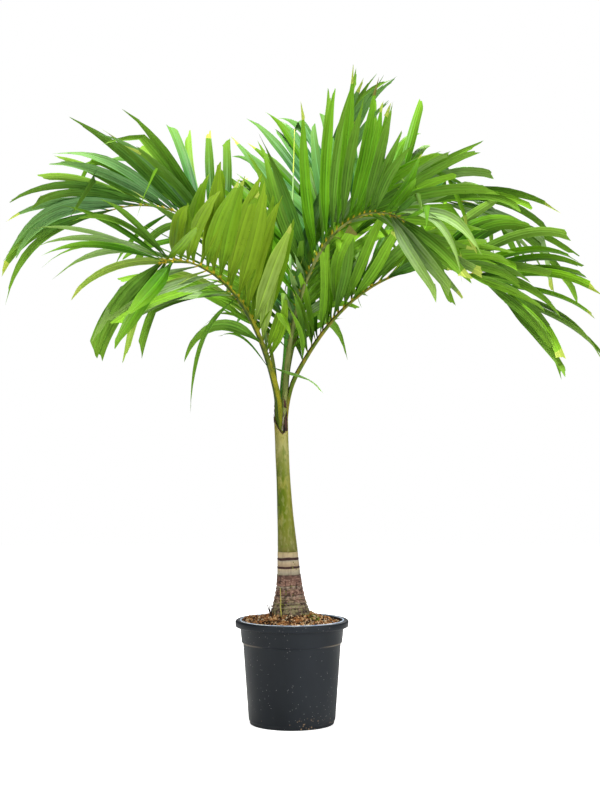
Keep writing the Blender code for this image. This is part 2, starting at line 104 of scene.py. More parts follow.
def finish_piece(bm, name, materials, replaces=(), sharp=180, closed=True, rounded=True):
    """The mesh as a piece of the plant, creased where its faces meet at over "sharp" degrees."""
    if closed:
        bmesh.ops.recalc_face_normals(bm, faces=bm.faces)
    for face in bm.faces:
        face.smooth = rounded
    for edge in bm.edges:
        if len(edge.link_faces) == 2 and edge.calc_face_angle(0.0) > math.radians(sharp):
            edge.smooth = False
    piece = mesh_object(bm, name, materials)
    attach(piece, "root")
    if replaces:
        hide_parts(*replaces)
    print(name, len(piece.data.polygons), "faces")


def ring_of(bm, sides):
    """A circle of vertices, in order round +Z, that a shape is extruded from."""
    verts = bmesh.ops.create_circle(bm, segments=sides, radius=1.0)["verts"]
    return sorted(verts, key=lambda vert: math.atan2(vert.co.y, vert.co.x))


def extrude_ring(bm, ring):
    """The ring extruded once; returns the new ring in the same order."""
    edges = [bm.edges.get((a, b)) for a, b in zip(ring, ring[1:] + ring[:1])]
    made = bmesh.ops.extrude_edge_only(bm, edges=edges)["geom"]
    new = {vert for vert in made if isinstance(vert, bmesh.types.BMVert)}
    after = []
    for vert in ring:
        others = [edge.other_vert(vert) for edge in vert.link_edges]
        after += [other for other in others if other in new]
    return after


def close_ends(bm):
    bmesh.ops.holes_fill(bm, edges=[edge for edge in bm.edges if edge.is_boundary])



def loft(bm, sides, steps, spot_at, start=0.0):
    """A circle extruded step by step, with each vertex where spot_at(step, angle) puts it."""
    first = ring = ring_of(bm, sides)
    for step in range(steps + 1):
        if step:
            ring = extrude_ring(bm, ring)
        for index, vert in enumerate(ring):
            vert.co = spot_at(step, start + math.tau * index / sides)
    return first, ring


def tube_along(bm, line, radii, sides):
    """A closed tube through a list of points, thinned or thickened by its radii."""
    def spot_at(step, angle):
        along = (line[min(step + 1, len(line) - 1)] - line[max(step - 1, 0)]).normalized()
        out = along.cross(Vector((0, 0, 1)))
        out = out.normalized() if out.length > UPRIGHT_LIMIT else Vector((1, 0, 0))
        up = out.cross(along)
        return line[step] + (out * math.cos(angle) + up * math.sin(angle)) * radii[step]

    loft(bm, sides, len(line) - 1, spot_at)
    close_ends(bm)


def mark_faces(verts, kind):
    for face in {face for vert in verts for face in vert.link_faces}:
        face.material_index = kind


print("helpers ready")

# %% [markdown]
# ## Shader groups
# Three effects are shared. "mottle" mixes two colours by a soft noise. "specks" puts small
# dots on a surface, for dust, pores and leaf spots. "ribs" reads a blade's own UV map, and
# gives its lengthwise veins, its thin margin, its midrib, the half that a spot lies on and
# the place along it. A group gives out only a colour, a mask or a height; the shader itself
# stays in each material. A material is then one colour with others laid over it, each where
# its masks are 1.

# %% Helpers for nodes
def add_node(tree, kind, sockets=(), **settings):
    """A shader node. Its inputs are numbers, colours, or the outputs of other nodes."""
    node = tree.nodes.new("ShaderNode" + kind)
    for title, value in settings.items():
        setattr(node, title, value)
    for key, value in dict(sockets).items():
        socket = node.inputs[key]
        if isinstance(value, bpy.types.NodeSocket):
            tree.links.new(value, socket)
        else:
            socket.default_value = (*value, 1.0) if socket.type == "RGBA" else value
    return node


def reckon(tree, operation, *values):
    return add_node(tree, "Math", enumerate(values), operation=operation).outputs[0]


def times(tree, product, *masks):
    """Masks multiplied, each a number or another node's output."""
    for mask in masks:
        product = reckon(tree, "MULTIPLY", product, mask)
    return product


def spread(tree, value, low, high, first=0.0, last=1.0):
    """A value between low and high spread over first to last, and held beyond them."""
    limits = {"From Min": low, "From Max": high, "To Min": first, "To Max": last}
    return add_node(tree, "MapRange", {"Value": value, **limits}).outputs["Result"]


def lay(tree, below, above, *masks):
    """Lays the colour above over the colour below where the masks are 1."""
    sockets = {0: times(tree, *masks), 6: below, 7: above}
    return add_node(tree, "Mix", sockets, data_type="RGBA").outputs[2]


def place_parts(tree):
    """The surface's own X, Y and Z."""
    place = add_node(tree, "TexCoord").outputs["Object"]
    return add_node(tree, "SeparateXYZ", {0: place}).outputs


def fade(tree, axis, *limits):
    """A mask that changes along one of the plant's own axes."""
    return spread(tree, place_parts(tree)[axis], *limits)


# %% Shader groups
SOCKET_KINDS = {1: "NodeSocketFloat", 3: "NodeSocketVector", 4: "NodeSocketColor"}
MOTTLE_DETAIL = 5.0
MARGIN_START = 0.43
MIDRIB_HALF = 0.045
BLADE_MIDDLE = 0.5
RIB_TURNS = 25.0


def new_group(name, inputs):
    """An empty group, and what its inputs give inside it."""
    group = bpy.data.node_groups.new(name, "ShaderNodeTree")
    for title, value in inputs.items():
        kind = SOCKET_KINDS[len(value) if isinstance(value, tuple) else 1]
        socket = group.interface.new_socket(title, in_out="INPUT", socket_type=kind)
        socket.default_value = value
    return group, group.nodes.new("NodeGroupInput").outputs


def end_group(group, outputs):
    for title in outputs:
        kind = SOCKET_KINDS[4 if title == "Color" else 1]
        group.interface.new_socket(title, in_out="OUTPUT", socket_type=kind)
    end = group.nodes.new("NodeGroupOutput")
    for title, value in outputs.items():
        group.links.new(value, end.inputs[title])
    return group


def mottle_group():
    group, start = new_group("mottle", {
        "First": (1, 1, 1, 1), "Second": (0, 0, 0, 1), "Scale": 10.0, "Low": 0.4, "High": 0.6,
        "Stretch": (1, 1, 1)})
    place = add_node(group, "TexCoord").outputs["Object"]
    stretched = add_node(group, "VectorMath", {0: place, 1: start["Stretch"]},
                         operation="MULTIPLY").outputs[0]
    cloud = add_node(group, "TexNoise", {"Vector": stretched, "Scale": start["Scale"],
                                         "Detail": MOTTLE_DETAIL})
    mask = spread(group, cloud.outputs["Fac"], start["Low"], start["High"])
    colour = lay(group, start["First"], start["Second"], mask)
    return end_group(group, {"Color": colour, "Mask": mask})


def specks_group():
    group, start = new_group("specks", {
        "Scale": 80.0, "Size": 0.15, "Patch Scale": 8.0, "Patch": 0.5})
    place = add_node(group, "TexCoord").outputs["Object"]
    dots = add_node(group, "TexVoronoi", {"Vector": place, "Scale": start["Scale"]})
    cloud = add_node(group, "TexNoise", {"Vector": place, "Scale": start["Patch Scale"]})
    near = reckon(group, "LESS_THAN", dots.outputs["Distance"], start["Size"])
    here = reckon(group, "GREATER_THAN", cloud.outputs["Fac"], start["Patch"])
    return end_group(group, {"Mask": times(group, near, here)})


def ribs_group():
    group, _ = new_group("ribs", {})
    place = add_node(group, "UVMap", uv_map="blade").outputs["UV"]
    parts = add_node(group, "SeparateXYZ", {0: place}).outputs
    outward = reckon(group, "ABSOLUTE", reckon(group, "SUBTRACT", parts["X"], BLADE_MIDDLE))
    return end_group(group, {
        "Height": reckon(group, "SINE", times(group, parts["X"], RIB_TURNS)),
        "Margin": spread(group, outward, MARGIN_START, BLADE_MIDDLE),
        "Midrib": spread(group, outward, MIDRIB_HALF, 0.0),
        "Half": spread(group, parts["X"], BLADE_MIDDLE - MIDRIB_HALF, BLADE_MIDDLE),
        "Along": parts["Y"]})


MOTTLE = mottle_group()
SPECKS = specks_group()
RIBS = ribs_group()
print("shader groups:", len(bpy.data.node_groups))


# %% Helpers for materials
def mottle(tree, scale, low, high, tall=1.0, wide=1.0, colours=((1, 1, 1), (0, 0, 0))):
    """Soft blotches, as the Color and the Mask of a mottle group."""
    sizes = {"Scale": scale, "Low": low, "High": high, "Stretch": (wide, wide, tall)}
    return add_node(tree, "Group", {"First": colours[0], "Second": colours[1], **sizes},
                    node_tree=MOTTLE).outputs


def specks(tree, *sizes):
    """Dots in patches: the dots' scale and size, then the patches' scale and threshold."""
    titles = ("Scale", "Size", "Patch Scale", "Patch")
    return add_node(tree, "Group", zip(titles, sizes), node_tree=SPECKS).outputs["Mask"]


def lay_clouds(tree, colour, layers):
    """Lays blotches over a colour, from each one's colour, the sizes of its mottle, and masks."""
    for above, sizes, *masks in layers:
        colour = lay(tree, colour, above, mottle(tree, *sizes)["Mask"], *masks)
    return colour


def dimmed(colour, factor):
    return tuple(part * factor for part in colour)


def new_material(name, roughness, specular=0.5):
    material = bpy.data.materials.new(name)
    material.use_nodes = True
    shader = material.node_tree.nodes["Principled BSDF"]
    shader.inputs["Roughness"].default_value = roughness
    shader.inputs["Specular IOR Level"].default_value = specular
    return material, material.node_tree, shader


def paint(tree, shader, colour, relief=None):
    """Gives the shader its colour, and a bump from a height, its strength and its depth."""
    tree.links.new(colour, shader.inputs["Base Color"])
    if relief:
        bump = add_node(tree, "Bump", zip(("Height", "Strength", "Distance"), relief))
        tree.links.new(bump.outputs["Normal"], shader.inputs["Normal"])


def mottled(name, finish, colours, sizes, relief=None):
    """A material of two mottled colours, with the mottle as its bump where relief is given."""
    material, tree, shader = new_material(name, *finish)
    cloud = mottle(tree, *sizes, colours=colours)
    paint(tree, shader, cloud["Color"], relief and (cloud["Mask"], *relief))
    return material


# %% [markdown]
# ## Camera
# The plant is seen from the front at chest height, from far enough back that the pot's rim
# is a thin ellipse. A long lens keeps the fronds that reach forward from looking swollen.
# A small upward tilt frames the crown, so the lens needs no shift.

# %% Camera
IMAGE_HEIGHT = 800
FOCAL_PIXELS = 1494.0
SENSOR = 36.0
CAMERA_PLACE = (0.024, -4.5, 0.87)
CAMERA_TILT = math.radians(1.25)


def add_camera():
    camera = bpy.data.cameras.new("camera")
    camera.sensor_width = SENSOR
    camera.lens = SENSOR * FOCAL_PIXELS / IMAGE_HEIGHT
    turn = (math.pi / 2 + CAMERA_TILT, 0.0, 0.0)
    bpy.context.scene.camera = new_object("camera", camera, CAMERA_PLACE, turn)
    return camera


print("lens in mm:", round(add_camera().lens, 1))

# %% [markdown]
# ## Studio
# A pale floor and a white surround stand in for a photographer's sweep. Most of the light
# comes from a broad lamp overhead, so the blades that face up are bright and those beneath
# them fall into shade. A second lamp from the front left gives the pot and trunk their
# sheen, a weak one opens the right side, and one behind lets the crown's edges glow. The
# surround shows as plain white but gives the plant far less light than it seems to, or the
# shadows between the leaves would be lost.


# %% Floor and lights
FLOOR_SIZE = 14.0
FLOOR_GAP = 0.0005
FLOOR_COLOUR = (0.90, 0.90, 0.89, 1.0)
FLOOR_GLOW = 0.80
SURROUND_LIGHT = 0.12
WHITE = (1.0, 1.0, 1.0, 1.0)
CROWN_AIM = (0.0, 0.0, 1.25)
# Each lamp's place, size, power and colour
LAMPS = {
    "overhead_lamp": ((-0.5, -1.0, 5.0), 1.4, 310.0, (1.0, 1.0, 0.99)),
    "front_lamp": ((-2.8, -3.6, 2.4), 1.2, 66.0, (1.0, 0.99, 0.96)),
    "side_lamp": ((3.2, -2.4, 1.6), 1.8, 72.0, (0.97, 0.99, 1.0)),
    "back_lamp": ((0.8, 3.2, 3.2), 2.4, 90.0, (1.0, 1.0, 1.0)),
}


def camera_only(tree, seen, otherwise):
    """A strength that is one value where the camera looks and another for all other light."""
    path = add_node(tree, "LightPath").outputs["Is Camera Ray"]
    return spread(tree, path, 0.0, 1.0, otherwise, seen)


def add_floor():
    bm = bmesh.new()
    place = Matrix.Translation((0.0, 0.0, -FLOOR_GAP))
    bmesh.ops.create_grid(bm, x_segments=1, y_segments=1, size=FLOOR_SIZE / 2, matrix=place)
    material, tree, shader = new_material("studio_floor", 0.95, 0.0)
    shader.inputs["Base Color"].default_value = FLOOR_COLOUR
    shader.inputs["Emission Color"].default_value = WHITE
    tree.links.new(camera_only(tree, FLOOR_GLOW, 0.0), shader.inputs["Emission Strength"])
    floor = mesh_object(bm, "floor", [material])


def add_lamp(name, place, size, power, colour):
    lamp = bpy.data.lights.new(name, "AREA")
    lamp.shape = "DISK"
    lamp.size = size
    lamp.energy = power
    lamp.color = colour
    aim = Vector(CROWN_AIM) - Vector(place)
    new_object(name, lamp, place, aim.to_track_quat("-Z", "Y").to_euler())


def add_surround():
    world = bpy.data.worlds.new("studio")
    world.use_nodes = True
    tree = world.node_tree
    sky = tree.nodes["Background"]
    sky.inputs["Color"].default_value = WHITE
    tree.links.new(camera_only(tree, 1.0, SURROUND_LIGHT), sky.inputs["Strength"])
    bpy.context.scene.world = world


add_floor()
for lamp_name, lamp_sizes in LAMPS.items():
    add_lamp(lamp_name, *lamp_sizes)
add_surround()
bpy.context.scene.view_settings.view_transform = "Standard"

# %% [markdown]
# ## Pot
# The pot is blown from black plastic: a rolled rim, a collar under it that tapers to a small
# step, and a plain wall that tapers to a foot. It is turned, so a half profile and one spin
# make it. Its height and rim are read from the imported pot's box, so it stands where that
# does. The rolled rim has a slim bead on its inside, coloured a pale bluish white as a
# painted highlight: the sky's reflection along the rim's inner edge.

# %% Pot
POT_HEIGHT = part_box("pot")[1].z
RIM_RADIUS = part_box("pot")[1].x
RIM_DEPTH = 0.021
BAND_RADIUS = 0.1550
BAND_LOW = 0.1510
BAND_FOOT = 0.241
BODY_RADIUS = 0.1466
FOOT_RADIUS = 0.130
FOOT_DEPTH = 0.012
BASE_RADIUS = 0.1265
WALL = 0.003
POT_STEPS = 120
BEAD_RADIUS = 0.0022
BEAD_WIDTH = 0.0070
SEAM = 0.00001
POT_DUST = [((0.070,) * 3, 60.0, 0.10, 14.0, 0.42), ((0.160,) * 3, 95.0, 0.10, 14.0, 0.50)]
POT_CRUMBS = (110.0, 0.26, 20.0, 0.53)
POT_BLACKS = ((0.009, 0.012, 0.016), (0.016, 0.020, 0.026))
CRUMB_BROWN = (0.30, 0.20, 0.115)
STEP_DUST_AND_HIGHLIGHT = (0.150, 0.120, 0.085)


def arc(centre, radius, start, end, count):
    """Points of a round corner in the pot's section, as (radius, height)."""
    points = []
    for index in range(count + 1):
        angle = math.radians(mix(start, end, index / count))
        points.append((centre[0] + radius * math.cos(angle),
                       centre[1] + radius * math.sin(angle)))
    return points


def collar_inside(height):
    """Radius of the collar's inner wall at a height."""
    share = (height - BAND_FOOT) / (POT_HEIGHT - BAND_FOOT)
    return mix(BAND_LOW, BAND_RADIUS, share) - WALL


def pot_section():
    """Half the pot's section, up from the middle of its floor and down its outside."""
    inside = BAND_RADIUS - WALL
    lip = POT_HEIGHT - RIM_DEPTH
    section = [(0.0, WALL), (BASE_RADIUS - WALL, WALL), (BODY_RADIUS - WALL, BAND_FOOT - 0.001),
               (BAND_LOW - WALL, BAND_FOOT + 0.002), (inside, POT_HEIGHT - 0.008)]
    # The rounded corners: centre, radius, first and last bearing, and steps
    for corner in (((inside + BEAD_RADIUS, POT_HEIGHT - BEAD_RADIUS), BEAD_RADIUS, 180, 10, 8),
                   ((RIM_RADIUS - 0.006, POT_HEIGHT - 0.0066), 0.006, 96, 4, 7),
                   ((RIM_RADIUS - 0.0042, lip + 0.004), 0.004, 0, -90, 5),
                   ((BAND_RADIUS + 0.0035, lip - 0.0012), 0.003, 90, 180, 4),
                   ((BAND_LOW - 0.0020, BAND_FOOT + 0.003), 0.002, 4, -60, 4),
                   ((BODY_RADIUS + 0.0015, BAND_FOOT - 0.003), 0.0015, 110, 180, 3)):
        section += arc(*corner)
    section += [(mix(BODY_RADIUS, FOOT_RADIUS, 0.5), mix(BAND_FOOT, FOOT_DEPTH, 0.5)),
                (FOOT_RADIUS, FOOT_DEPTH + 0.001), (FOOT_RADIUS - 0.0015, FOOT_DEPTH - 0.001)]
    section += arc((BASE_RADIUS - 0.003, 0.003), 0.003, -10, -90, 4)
    return section + [(BASE_RADIUS - 0.012, 0.0), (0.0, 0.0)]


def make_pot_material():
    """Black plastic with dust, soil crumbs near its foot, and dust and painted highlight on the
    step's sides.
    """
    material, tree, shader = new_material("black_nursery_plastic", 0.5, 0.20)
    body = mottle(tree, 9.0, 0.35, 0.7, 0.5, colours=POT_BLACKS)
    colour = body["Color"]
    for grey, *sizes in POT_DUST:
        colour = lay(tree, colour, grey, specks(tree, *sizes))
    near_foot = fade(tree, "Z", 0.040, 0.004)
    colour = lay(tree, colour, CRUMB_BROWN, specks(tree, *POT_CRUMBS), near_foot)
    # The pale tan band on the step's left and right is partly dust and partly a painted highlight
    # along the step's edge.
    on_step = times(tree, fade(tree, "Z", BAND_FOOT - 0.003, BAND_FOOT),
                    fade(tree, "Z", BAND_FOOT + 0.0045, BAND_FOOT + 0.002))
    for side in (-1, 1):
        colour = lay(tree, colour, STEP_DUST_AND_HIGHLIGHT, on_step,
                     fade(tree, "X", side * 0.085, side * 0.135))
    paint(tree, shader, colour, (mottle(tree, 380.0, 0.3, 0.7)["Mask"], 0.15, 0.0005))
    tree.links.new(spread(tree, body["Mask"], 0.0, 1.0, 0.40, 0.58), shader.inputs["Roughness"])
    return material


def make_pot():
    bm = bmesh.new()
    verts = [bm.verts.new((radius, 0.0, height)) for radius, height in pot_section()]
    edges = [bm.edges.new(pair) for pair in zip(verts, verts[1:])]
    bmesh.ops.spin(bm, geom=verts + edges, axis=(0, 0, 1), cent=(0, 0, 0), dvec=(0, 0, 0),
                   angle=math.tau, steps=POT_STEPS, use_merge=True)
    bmesh.ops.remove_doubles(bm, verts=bm.verts, dist=SEAM)
    for face in bm.faces:
        middle = face.calc_center_median()
        on_bead = middle.xy.length < BAND_RADIUS - WALL + BEAD_WIDTH
        face.material_index = int(on_bead and middle.z > POT_HEIGHT - 2 * BEAD_RADIUS)
    # The bead's pale bluish white is a painted highlight: the sky's reflection along the rim's
    # inner edge.
    bead = mottled("rim_bead_painted_highlight", (0.35, 0.4), ((0.28, 0.40, 0.58), (0.80, 0.88, 0.95)),
                   (26.0, 0.38, 0.62))
    finish_piece(bm, "nursery_pot", [make_pot_material(), bead], ["pot"],
                 sharp=32)


make_pot()

# %% [markdown]
# ## Soil
# The pot is filled with coarse bark, heaped almost level to its edge. A low mound carries
# the shape, and some five thousand chips lie on it, each a block with its corners knocked
# about. They are joined into one mesh, and each chip is given one of a few plain browns by
# seeded chance, with a little green moss beside the trunk.

# %% Soil and bark chips
SOIL_EDGE = 0.296
SOIL_CROWN = 0.325
SOIL_FALL = 0.7
SOIL_SEAT = 0.066
SOIL_HOLE = 0.02
SOIL_RINGS = 16
SOIL_SIDES = 90
SOIL_LUMPS = (55.0, 0.004)
WALL_GAP = 0.0008
BELOW_CHIPS = 0.003
CHIP_COUNT = 5200
CHIP_RING = (0.050, 0.1480)
CHIP_SIZES = (0.0016, 0.0040)
CHIP_DEPTHS = (-0.004, 0.0025)
CHIP_TIP = 0.8
CHIP_KNOCK = 0.14
# A small heap of chips on the left: its middle, how far it reaches and its height
HEAP = (-0.124, 0.010, 0.028, 0.013)
MOSS_CENTRE = Vector((0.062, -0.030, 0.0))
CHIP_COLOURS = {
    "chip_red": (0.420, 0.185, 0.066),
    "chip_brown": (0.060, 0.028, 0.012),
    "chip_tan": (0.640, 0.380, 0.170),
    "chip_pale": (0.860, 0.700, 0.460),
    "chip_moss": (0.22, 0.25, 0.035),
}
CHIP_CHANCES = (0.32, 0.34, 0.24, 0.10, 0.0)
MOSSY_CHANCES = (0.15, 0.25, 0.15, 0.05, 0.40)
MOSSY_REACH = 0.034


def soil_level(radius):
    """Height of the soil: highest against the trunk, nearly flat near the pot's wall."""
    span = max(0.0, (radius - SOIL_SEAT) / (BAND_RADIUS - SOIL_SEAT))
    return mix(SOIL_CROWN, SOIL_EDGE, span ** SOIL_FALL)


def heap_at(spot):
    left, back, reach, height = HEAP
    away = Vector((spot.x - left, spot.y - back)).length / reach
    return height * math.exp(-away * away)


def chip_material(name, colour):
    return mottled(name, (0.92, 0.2), (colour, dimmed(colour, 0.30)), (300.0, 0.46, 0.64),
                   (0.5, 0.001))


def make_soil():
    bm = bmesh.new()
    reach = collar_inside(SOIL_EDGE) - WALL_GAP
    fineness, depth = SOIL_LUMPS

    def spot_at(step, angle):
        radius = mix(reach, SOIL_HOLE, step / SOIL_RINGS)
        spot = polar(angle, radius)
        lump = noise.noise(spot * fineness) * depth + heap_at(spot) if step else 0.0
        return spot + Vector((0, 0, soil_level(radius) + lump - BELOW_CHIPS))

    outer, _ = loft(bm, SOIL_SIDES, SOIL_RINGS, spot_at)
    low = BAND_FOOT + BELOW_CHIPS
    for vert in extrude_ring(bm, outer):
        vert.co = vert.co.xy.to_3d() * ((collar_inside(low) - WALL_GAP) / reach)
        vert.co.z = low
    close_ends(bm)
    # The mound's very dark brown is partly the soil's own colour and partly painted shade in the
    # gaps between the chips.
    finish_piece(bm, "soil_mound", [chip_material("soil_and_gap_shade", (0.030, 0.015, 0.008))],
                 ["soil"])


def add_chip(bm, draw, spot, long, kind):
    """One chip: a block squashed, turned and tipped, with its corners knocked about."""
    turn = Matrix.Rotation(draw.uniform(0, math.tau), 4, "Z")
    for axis in "XY":
        turn = turn @ Matrix.Rotation(draw.gauss(0, CHIP_TIP), 4, axis)
    size = Matrix.Diagonal((long * 2, long * draw.uniform(0.7, 1.6),
                            long * draw.uniform(0.4, 0.9), 1.0))
    place = Matrix.Translation(spot) @ turn @ size
    verts = bmesh.ops.create_cube(bm, size=1.0, matrix=place)["verts"]
    for vert in verts:
        vert.co += Vector([draw.gauss(0, 1) for _ in range(3)]) * long * CHIP_KNOCK
    mark_faces(verts, kind)


def make_chips():
    draw = random.Random(21)
    bm = bmesh.new()
    inner, outer = CHIP_RING
    for _ in range(CHIP_COUNT):
        radius = math.sqrt(draw.uniform(inner ** 2, outer ** 2))
        spot = polar(draw.uniform(0.0, math.tau), radius)
        long = draw.uniform(*CHIP_SIZES) + CHIP_SIZES[1] * draw.random() ** 6
        mossy = (spot - MOSS_CENTRE).length < MOSSY_REACH
        kind = draw.choices(range(len(CHIP_COLOURS)), MOSSY_CHANCES if mossy else CHIP_CHANCES)[0]
        spot.z = soil_level(radius) + heap_at(spot) + draw.uniform(*CHIP_DEPTHS)
        add_chip(bm, draw, spot, long, kind)
    for vert in bm.verts:
        inwards = min(1.0, (collar_inside(vert.co.z) - WALL_GAP) / vert.co.xy.length)
        vert.co.x *= inwards
        vert.co.y *= inwards
    materials = [chip_material(name, colour) for name, colour in CHIP_COLOURS.items()]
    finish_piece(bm, "bark_chips", materials, rounded=False)


make_soil()
make_chips()

# %% [markdown]
# ## Trunk
# The trunk swells at its foot and is ringed where old leaves let go. It is one circle,
# extruded ring by ring up a leaning line. Each ring takes its radius from a short table,
# and noise gives it fibres and lumps that grow coarser towards the soil. The pale bands,
# the thin dark scars and the brown foot lie at fixed heights, so a ramp up the height
# colours them, and fine streaks and crusts are laid over it.

# %% Trunk
LEAN_FOOT = -0.0045
LEAN_TOP = -0.0320
TRUNK_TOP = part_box("trunk")[1].z
SHAFT_TOP = 0.868
TRUNK_SIDES = 84
TRUNK_RINGS = 120
TRUNK_SECTION = [
    (0.327, 0.0600), (0.331, 0.0588), (0.346, 0.0548), (0.360, 0.0506), (0.376, 0.0462),
    (0.392, 0.0426), (0.411, 0.0394), (0.4435, 0.0356), (0.4445, 0.0348), (0.466, 0.0334),
    (0.490, 0.0318), (0.512, 0.0304)]
RING_SCARS = (0.3450, 0.3560, 0.3700, 0.3845, 0.3980, 0.4110, 0.4440, 0.4668, 0.4925)
SCAR_DEPTH = 0.0015
RING_TILT = 0.035
SMOOTH_ABOVE = 0.43
SCAR_WIDTH = 0.0017
SCAR_WANDER = 0.0022
RIDGE_SHARE = 0.7
GROOVE_SHARE = 0.6
GROOVE_PLACE = 2.2
TRUNK_RADIUS = 0.03
STEM_BOW = 0.4

# Each noise's fineness round and up the stem, its depth, and how much of it smooth bark keeps
TRUNK_LUMPS = ((1.4, 16, 0.0018, 0.0), (14, 60, 0.0013, 0.0), (5, 260, 0.0016, 0.15))
ROUGH_BELOW = (0.452, 0.07)
TRUNK_SUNK = 0.004
WALL_DEPTH = 0.03


def stem_centre(height):
    share = (height - SOIL_CROWN) / (SHAFT_TOP - SOIL_CROWN)
    share = smooth(share) * STEM_BOW + share * (1 - STEM_BOW)
    return Vector((mix(LEAN_FOOT, LEAN_TOP, share), 0.0, height))


def lumps(around, height, noises, rough):
    """Noises added up at a bearing and height, as a change of the stem's radius."""
    total = 0.0
    for wide, tall, depth, least in noises:
        spot = around * wide + Vector((0, 0, height * tall))
        total += noise.noise(spot) * depth * (least + rough)
    return total


def trunk_relief(height, angle):
    """Scars, fibres and lumps on the trunk, as a change of its radius."""
    around = polar(angle, 1.0)
    top, span = ROUGH_BELOW
    relief = lumps(around, height, TRUNK_LUMPS, smooth((top - height) / span))
    wander = noise.noise(around * 1.3 + Vector((3, 0, height * 3))) * SCAR_WANDER
    for scar in RING_SCARS:
        away = (height + wander - RING_TILT * around.x * TRUNK_RADIUS - scar) / SCAR_WIDTH
        depth = SCAR_DEPTH * (-1.0 if scar < SMOOTH_ABOVE else RIDGE_SHARE)
        groove = GROOVE_SHARE * math.exp(-(away - GROOVE_PLACE) ** 2)
        relief += depth * (math.exp(-away * away) - groove)
    return relief


def make_stem(name, section, rings, relief, heights, material, replaces, wall=None):
    """A leaning round stem, ring by ring; with a wall it stays open on top, like a sheath."""
    bm = bmesh.new()

    def spot_at(step, angle):
        height = heights(step / rings, angle)
        radius = read_table(section, height) + relief(height, angle)
        return stem_centre(height) + polar(angle, radius)

    _, ring = loft(bm, TRUNK_SIDES, rings, spot_at, -math.pi)
    if wall:
        for drop in (0.0, WALL_DEPTH):
            ring = extrude_ring(bm, ring)
            for vert in ring:
                middle = stem_centre(vert.co.z)
                vert.co += (middle - vert.co).normalized() * wall - Vector((0, 0, drop))
    close_ends(bm)
    finish_piece(bm, name, [material], [replaces])


def height_ramp(tree, stops, wander):
    """A colour for each height, with the bands' edges made to wander a little."""
    low, high = stops[0][0], stops[-1][0]
    parts = place_parts(tree)
    level = reckon(tree, "ADD", parts["Z"], times(tree, parts["X"], -RING_TILT))
    cloud = mottle(tree, 34.0, 0.3, 0.7)["Mask"]
    moved = reckon(tree, "ADD", level, spread(tree, cloud, 0.0, 1.0, -wander, wander))
    ramp = add_node(tree, "ValToRGB", {"Fac": spread(tree, moved, low, high)})
    elements = ramp.color_ramp.elements
    elements.remove(elements[1])
    for index, (height, colour) in enumerate(stops):
        share = (height - low) / (high - low)
        element = elements.new(share) if index else elements[0]
        element.position = share
        element.color = (*colour, 1.0)
    return ramp.outputs["Color"]


CREAM = (0.47, 0.37, 0.235)
GREY_CREAM = (0.38, 0.33, 0.24)
SCAR_DARK = (0.045, 0.020, 0.018)
PURPLE_BARK = (0.150, 0.078, 0.058)
GREY_BARK = (0.26, 0.200, 0.150)
PINK_BARK = (0.270, 0.150, 0.110)
FOOT_BARK = (0.110, 0.085, 0.055)
MOSS = (0.14, 0.15, 0.030)
# The colour of the bark at each height
BARK_BANDS = [
    (0.3435, FOOT_BARK), (0.3455, (0.050, 0.036, 0.028)), (0.349, GREY_BARK),
    (0.3555, FOOT_BARK), (0.3575, (0.055, 0.036, 0.028)), (0.362, GREY_BARK),
    (0.3685, PURPLE_BARK), (0.3705, (0.055, 0.032, 0.026)), (0.374, PINK_BARK),
    (0.3830, GREY_BARK), (0.3848, (0.060, 0.036, 0.030)), (0.389, PINK_BARK),
    (0.399, PURPLE_BARK), (0.4085, GREY_BARK), (0.4105, (0.42, 0.34, 0.24)),
    (0.4125, (0.10, 0.055, 0.042)), (0.4150, PINK_BARK), (0.427, PURPLE_BARK),
    (0.438, PURPLE_BARK), (0.4436, (0.070, 0.040, 0.034)), (0.4470, (0.30, 0.26, 0.18)),
    (0.453, GREY_CREAM), (0.4628, CREAM), (0.4637, SCAR_DARK), (0.4698, SCAR_DARK),
    (0.4708, (0.36, 0.26, 0.16)), (0.482, CREAM), (0.4880, GREY_CREAM), (0.4888, SCAR_DARK),
    (0.4960, SCAR_DARK), (0.4970, CREAM), (0.512, (0.47, 0.37, 0.19))]


def make_trunk_material():
    """Bands by height, then streaks, crusts, pale flakes, cracks and lichen, then moss."""
    material, tree, shader = new_material("ringed_bark", 0.85, 0.25)
    low_down = fade(tree, "Z", 0.450, 0.425)
    foot = fade(tree, "Z", 0.385, 0.355)
    crusts = (70.0, 0.50, 0.60, 3.2)
    colour = lay_clouds(tree, height_ramp(tree, BARK_BANDS, 0.0011), (
        ((0.090, 0.058, 0.040), (120.0, 0.50, 0.66, 0.16), 0.32),
        ((0.040, 0.022, 0.018), crusts, 0.75, low_down),
        ((0.42, 0.26, 0.19), (110.0, 0.53, 0.62, 2.0), 0.7, low_down),
        ((0.032, 0.018, 0.015), (95.0, 0.54, 0.60, 0.4), 0.8, low_down),
        ((0.30, 0.27, 0.13), (90.0, 0.46, 0.56), 0.65, foot)))
    colour = lay(tree, colour, MOSS, specks(tree, 150.0, 0.34, 26.0, 0.58))
    paint(tree, shader, colour, (mottle(tree, *crusts)["Mask"], 0.6, 0.0015))
    return material


make_stem("ringed_trunk", TRUNK_SECTION, TRUNK_RINGS, trunk_relief,
          lambda share, angle: mix(SOIL_CROWN - TRUNK_SUNK, TRUNK_TOP, share),
          make_trunk_material(), "trunk")

# %% [markdown]
# ## Crownshaft
# The shaft is a roll of leaf sheaths, smooth and pale green. Its outermost sheath is open
# at the front in a V, and the oldest stalk stands in that opening. The same extrusion
# makes it, but the height of its rings depends on the angle, so the open edge dips at the
# front. It is left open on top and given a thin inner wall. Long soft blotches of a deeper
# green and a warm tan lie on it, and its torn edge is dry and dark. The green is laid
# heavier on the left, with a darker left side, as painted shade, and the tan is laid
# towards the right, partly as painted light.

